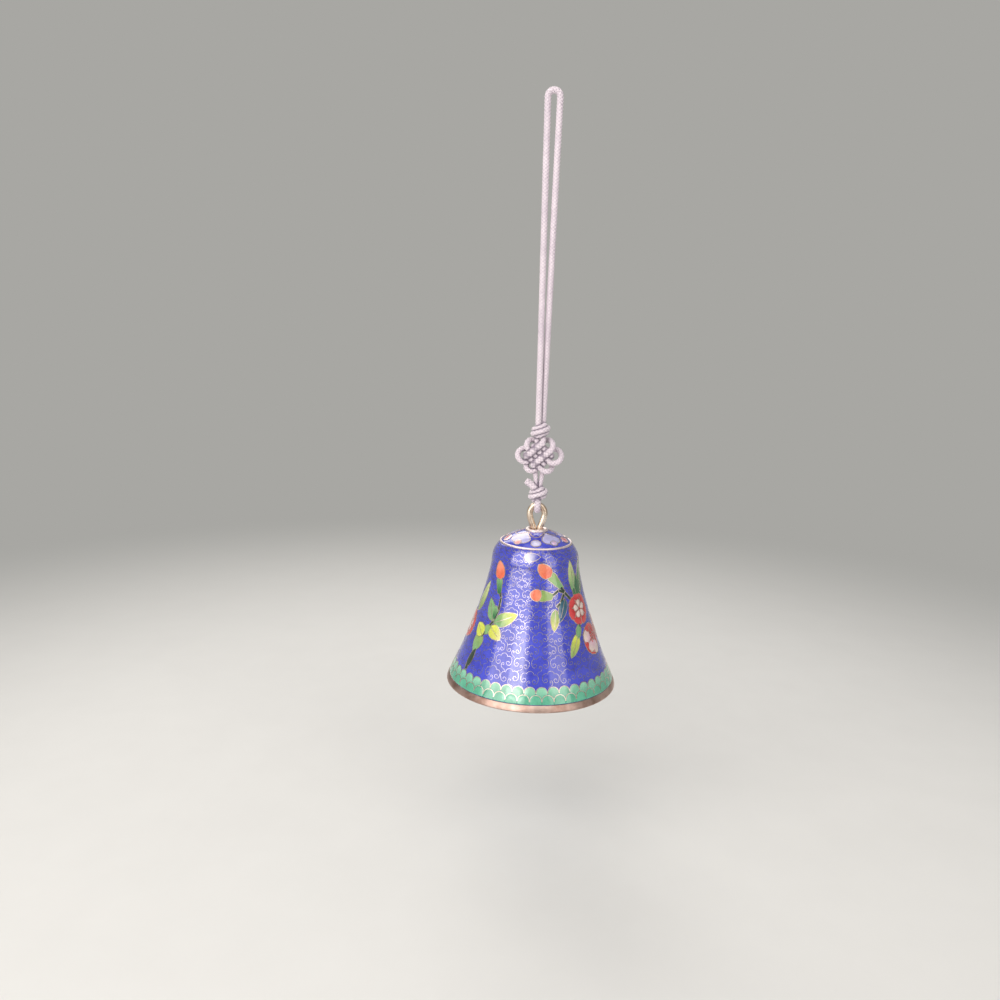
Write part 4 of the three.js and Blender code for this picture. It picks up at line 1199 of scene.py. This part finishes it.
# %% Shoulder ring and collar
RING_HALF, RING_PROUD, RING_STEPS, COLLAR_SIDES = 0.33, 0.02, 12, 64
COLLAR_LOW_Z, COLLAR_HIGH_Z, BORE_R, BORE_LIP_R, BEAD_R = -119.0, -117.55, 2.06, 2.3, 0.38
ring_profile = arc(wall(shoulder_s, RING_PROUD), RING_HALF, 0, 360, RING_STEPS)[:-1]
settle(turned("shoulder_ring", ring_profile), "bell", pale_gilt, ("shoulder_wire",))
low, high = (z - RIM_Z for z in (COLLAR_LOW_Z, COLLAR_HIGH_Z))
collar_profile = [(BORE_R, low + 0.1), (COLLAR_R, low - 0.05), (COLLAR_R + 0.05, low + 0.6)]
collar_profile += arc((COLLAR_R - 0.35, high - 0.4), BEAD_R, 0, 90, 6)
collar_profile += [(BORE_LIP_R, high), (BORE_R, high - 0.2)]
settle(turned("collar_ring", collar_profile, COLLAR_SIDES), "bell", pale_gilt, ("crown_collar",))

# %% [markdown]
# ## Hanging eye and clapper
# One thick brass wire is bent to a teardrop, passes down through the collar and ends in a small ring
# inside. A jump ring and a wire with a ball hang from it. Each wire is a round tube along its bend.

# %% Round wire along a bend
WIRE_SIDES, END_TAPER = 18, 0.8


def round_wire(name, points, diameter, closed=False, hold=(0, 1, 0)):
    """A tube along a bend. hold is a direction that the bend never takes, so the tube can't twist."""
    points = [np.array(p, float) for p in points]
    count, sides, rows = len(points), WIRE_SIDES, []
    angles = np.linspace(0, 2 * math.pi, sides + 1)[:-1]
    for k, p in enumerate(points):
        after = points[(k + 1) % count] if closed else points[min(k + 1, count - 1)]
        before = points[k - 1] if closed else points[max(k - 1, 0)]
        along = (after - before) / np.linalg.norm(after - before)
        aside = np.array(hold, float) - along * along.dot(hold)
        aside = aside / np.linalg.norm(aside)
        up = np.cross(along, aside)
        near_end = not closed and k in (0, count - 1)
        r = diameter / 2 * (END_TAPER if near_end else 1)
        rows += [p + r * (aside * math.cos(a) + up * math.sin(a)) for a in angles]
    faces = []
    for k in range(count if closed else count - 1):
        a, b = k * sides, (k + 1) % count * sides
        faces += [(a + i, a + (i + 1) % sides, b + (i + 1) % sides, b + i) for i in range(sides)]
    if not closed:
        faces += [tuple(reversed(range(sides))), tuple(range((count - 1) * sides, count * sides))]
    return new_piece(name, rows, faces)


print("round wires have", WIRE_SIDES, "sides")

# %% Eye, jump ring and clapper
EYE_D, EYE_R, EYE_HALF_H, NECK_X, NECK_TOP, NECK_FOOT = 1.8, 2.15, 2.5, 0.97, -117.4, -120.92
INNER_R, INNER_DROP, INNER_END_DEG, EYE_SIDE_DEG, EYE_STEPS, LEG_STEPS = 1.9, 2.6, -85.5, -15, 16, 10
NECK_MARKS, LEG_BENDS = (0.02, 0.35, 0.7, 1.0), ((1.32, -116.3), (1.9, -114.9))
LINK_R, LINK_D, LINK_RING_STEPS = 2.6, 1.2, 40
CLAPPER_D, CLAPPER_EYE_R, SHANK_DROP, CLAPPER_END_DEG = 1.2, 1.4, 1.9, 205
SHANK_STEPS, CLAPPER_EYE_STEPS = 12, 24
BALL_R, BALL_DROP, BALL_END_DEG, BALL_STEPS, BALL_SIDES = 4.5, 26, 81.5, 23, 48


def tangent_deg(centre, radius, x, z):
    """Where on a circle a straight wire from this place runs into it."""
    dx, dz = x - centre[0], z - centre[1]
    return math.degrees(math.atan2(dz, dx) - math.copysign(math.acos(radius / math.hypot(dx, dz)), dz))


inner_centre = (0, NECK_FOOT - INNER_DROP)
neck_deg = tangent_deg(inner_centre, INNER_R, NECK_X, NECK_FOOT)
half_eye = arc(inner_centre, INNER_R, INNER_END_DEG, neck_deg, EYE_STEPS)
half_eye += [(NECK_X, NECK_FOOT + (NECK_TOP - NECK_FOOT) * f) for f in NECK_MARKS]
eye_side = [(x, EYE_TOP_Z - EYE_HALF_H + z * EYE_HALF_H / EYE_R)
            for x, z in arc((0, 0), EYE_R, EYE_SIDE_DEG, 90, EYE_STEPS)]
leg = [np.array(p) for p in ((NECK_X, NECK_TOP), *LEG_BENDS, eye_side[0])]
half_eye += [tuple(p) for p in bezier(leg, LEG_STEPS)[1:-1]] + eye_side
eye_line = [(x, 0, z) for x, z in half_eye] + [(-x, 0, z) for x, z in reversed(half_eye[:-1])]
settle(round_wire("brass_eye", eye_line, EYE_D), "bell", brass, ("hanging_eye",))
link_low, link_high = (c.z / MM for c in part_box("clapper_link"))
link_z = (link_low + link_high) / 2
link_line = [(0, y, z) for y, z in arc((0, link_z), LINK_R, 0, 360, LINK_RING_STEPS)][:-1]
jump_ring = round_wire("jump_ring", link_line, LINK_D, closed=True, hold=(1, 0, 0))
settle(jump_ring, "link", brass, ("clapper_link",))
pivot = (0, link_z - LINK_R)
shank_top = pivot[1] - CLAPPER_EYE_R * SHANK_DROP
wire_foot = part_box("clapper_wire")[0].z / MM
clapper_line = straight((0, 0, wire_foot), (0, 0, shank_top), SHANK_STEPS)
shank_deg = tangent_deg(pivot, CLAPPER_EYE_R, 0, shank_top)
clapper_line += [(x, 0, z) for x, z in arc(
    pivot, CLAPPER_EYE_R, shank_deg, CLAPPER_END_DEG, CLAPPER_EYE_STEPS)]
settle(round_wire("clapper_stem", clapper_line, CLAPPER_D), "clapper", brass, ("clapper_wire",))
ball_centre = (0, pivot[1] - BALL_DROP - RIM_Z)
ball_profile = arc(ball_centre, BALL_R, -BALL_END_DEG, BALL_END_DEG, BALL_STEPS)
settle(turned("clapper_bob", ball_profile, BALL_SIDES), "clapper", brass, ("clapper_ball",))

# %% CAD pieces that stay
for node, material, slot_name in (("copper_shell", bare_copper, "copper"), ("inner_washer", brass, "gilt")):
    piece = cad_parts[node]
    piece.data.materials.clear()
    piece.data.materials.append(material)
print("kept CAD nodes: copper_shell, inner_washer")

# %% [markdown]
# ## Studio
# The bell hangs over a wide pale floor. Two tall soft boxes stand left and right of the camera, and a
# polished cone shows each as an upright pale band. A small box near the left one makes that band
# brighter low on the bell. A large box overhead and one behind fill in. A curved paper would end
# somewhere in a view from the side. So the floor keeps the shadow near the bell and fades further out
# to the plain tone of the air, which eye, metal and glass all see.

# %% Floor and backdrop
FLOOR_Z, FLOOR_HALF, FADE_FROM, FADE_TO = -210.0, 4000.0, 0.14, 0.46
BACKDROP = (*linear("#a8a7a3"), 1)


def seen_rays(tree):
    """1 for a ray that shows the background to the eye, straight or by metal or glass."""
    rays = tree.put("ShaderNodeLightPath").outputs
    return tree.math("MAXIMUM", rays["Is Camera Ray"], tree.math(
        "MAXIMUM", rays["Is Glossy Ray"], rays["Is Transmission Ray"]))


corners = [(x * FLOOR_HALF, y * FLOOR_HALF, FLOOR_Z) for x, y in ((-1, -1), (1, -1), (1, 1), (-1, 1))]
floor = new_piece("pale_floor", corners, [(0, 1, 2, 3)])
paper = Shader("pale_paper")
fleck = paper.spread(paper.noise(60.0, 3.0), 0.3, 0.7)
paper.set(base_color=paper.blend(fleck, linear("#dddcd9"), linear("#dfdedb")), roughness=0.85)
far_out = paper.vector("LENGTH", paper.vector("MULTIPLY", paper.place, (1, 1, 0)))
fade = paper.put("ShaderNodeMapRange", {"Value": far_out, "From Min": FADE_FROM, "From Max": FADE_TO},
                 interpolation_type="SMOOTHSTEP").outputs["Result"]
plain = paper.put("ShaderNodeEmission", {"Color": BACKDROP, "Strength": 1.0})
shown = paper.math("MULTIPLY", seen_rays(paper), fade)
faded = paper.put("ShaderNodeMixShader", {0: shown, 1: paper.surface, 2: plain})
paper.feed(paper.tree.nodes["Material Output"].inputs["Surface"], faded)
floor.data.materials.append(paper.material)
floor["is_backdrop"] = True
print("floor:", floor.name, FLOOR_Z, "mm from the hang point")

# %% Lights and world
LAMP_COLOUR, AIR_COLOUR, AIR_STRENGTH = (1.0, 0.96, 0.91), (0.95, 0.97, 1.0, 1), 0.33
AIMED_AT = Vector((0, 0, -0.14))


def soft_box(name, azimuth, elevation, distance, size, power):
    """An area light that faces the bell. Azimuth 0 is at the camera's side, and 90 to the right."""
    data = bpy.data.lights.new(name, "AREA")
    data.shape, data.size, data.size_y, data.energy = "RECTANGLE", size[0], size[1], power
    data.color = LAMP_COLOUR
    lamp = bpy.data.objects.new(name, data)
    scene.collection.objects.link(lamp)
    a, e = math.radians(azimuth), math.radians(elevation)
    way = Vector((math.sin(a) * math.cos(e), -math.cos(a) * math.cos(e), math.sin(e)))
    lamp.location = AIMED_AT + way * distance
    lamp.rotation_euler = (-way).to_track_quat("-Z", "Y").to_euler()


BOXES = (
    ("left_box", -36, 22, 0.6, (0.66, 0.95), 4.6),
    ("right_box", 43, 20, 0.6, (0.28, 0.85), 1.3),
    ("overhead_box", -20, 74, 0.9, (0.7, 0.7), 1.2),
    ("back_fill", 200, 40, 0.9, (0.6, 0.6), 3.0),
    ("low_glow", -22, 20.5, 0.6, (0.22, 0.08), 0.22),
)
for box in BOXES:
    soft_box(*box)
world = bpy.data.worlds.new("studio_air")
scene.world = world
world.use_nodes = True
air = Tree(world.node_tree)
dim = world.node_tree.nodes["Background"]
air.feed(dim.inputs["Color"], AIR_COLOUR)
air.feed(dim.inputs["Strength"], AIR_STRENGTH)
tone = air.put("ShaderNodeBackground", {"Color": BACKDROP, "Strength": 1.0})
either_one = air.put("ShaderNodeMixShader", {0: seen_rays(air), 1: dim, 2: tone})
air.feed(world.node_tree.nodes["World Output"].inputs["Surface"], either_one)
print("lights:", len(BOXES), "soft boxes")

# %% [markdown]
# ## Size
# The size of the dressed bell is printed, from the bounds of all its shown pieces.

# %% Size of the dressed bell
low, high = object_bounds()
print("size:", [round((b - a) / MM, 2) for a, b in zip(low, high)], "mm")
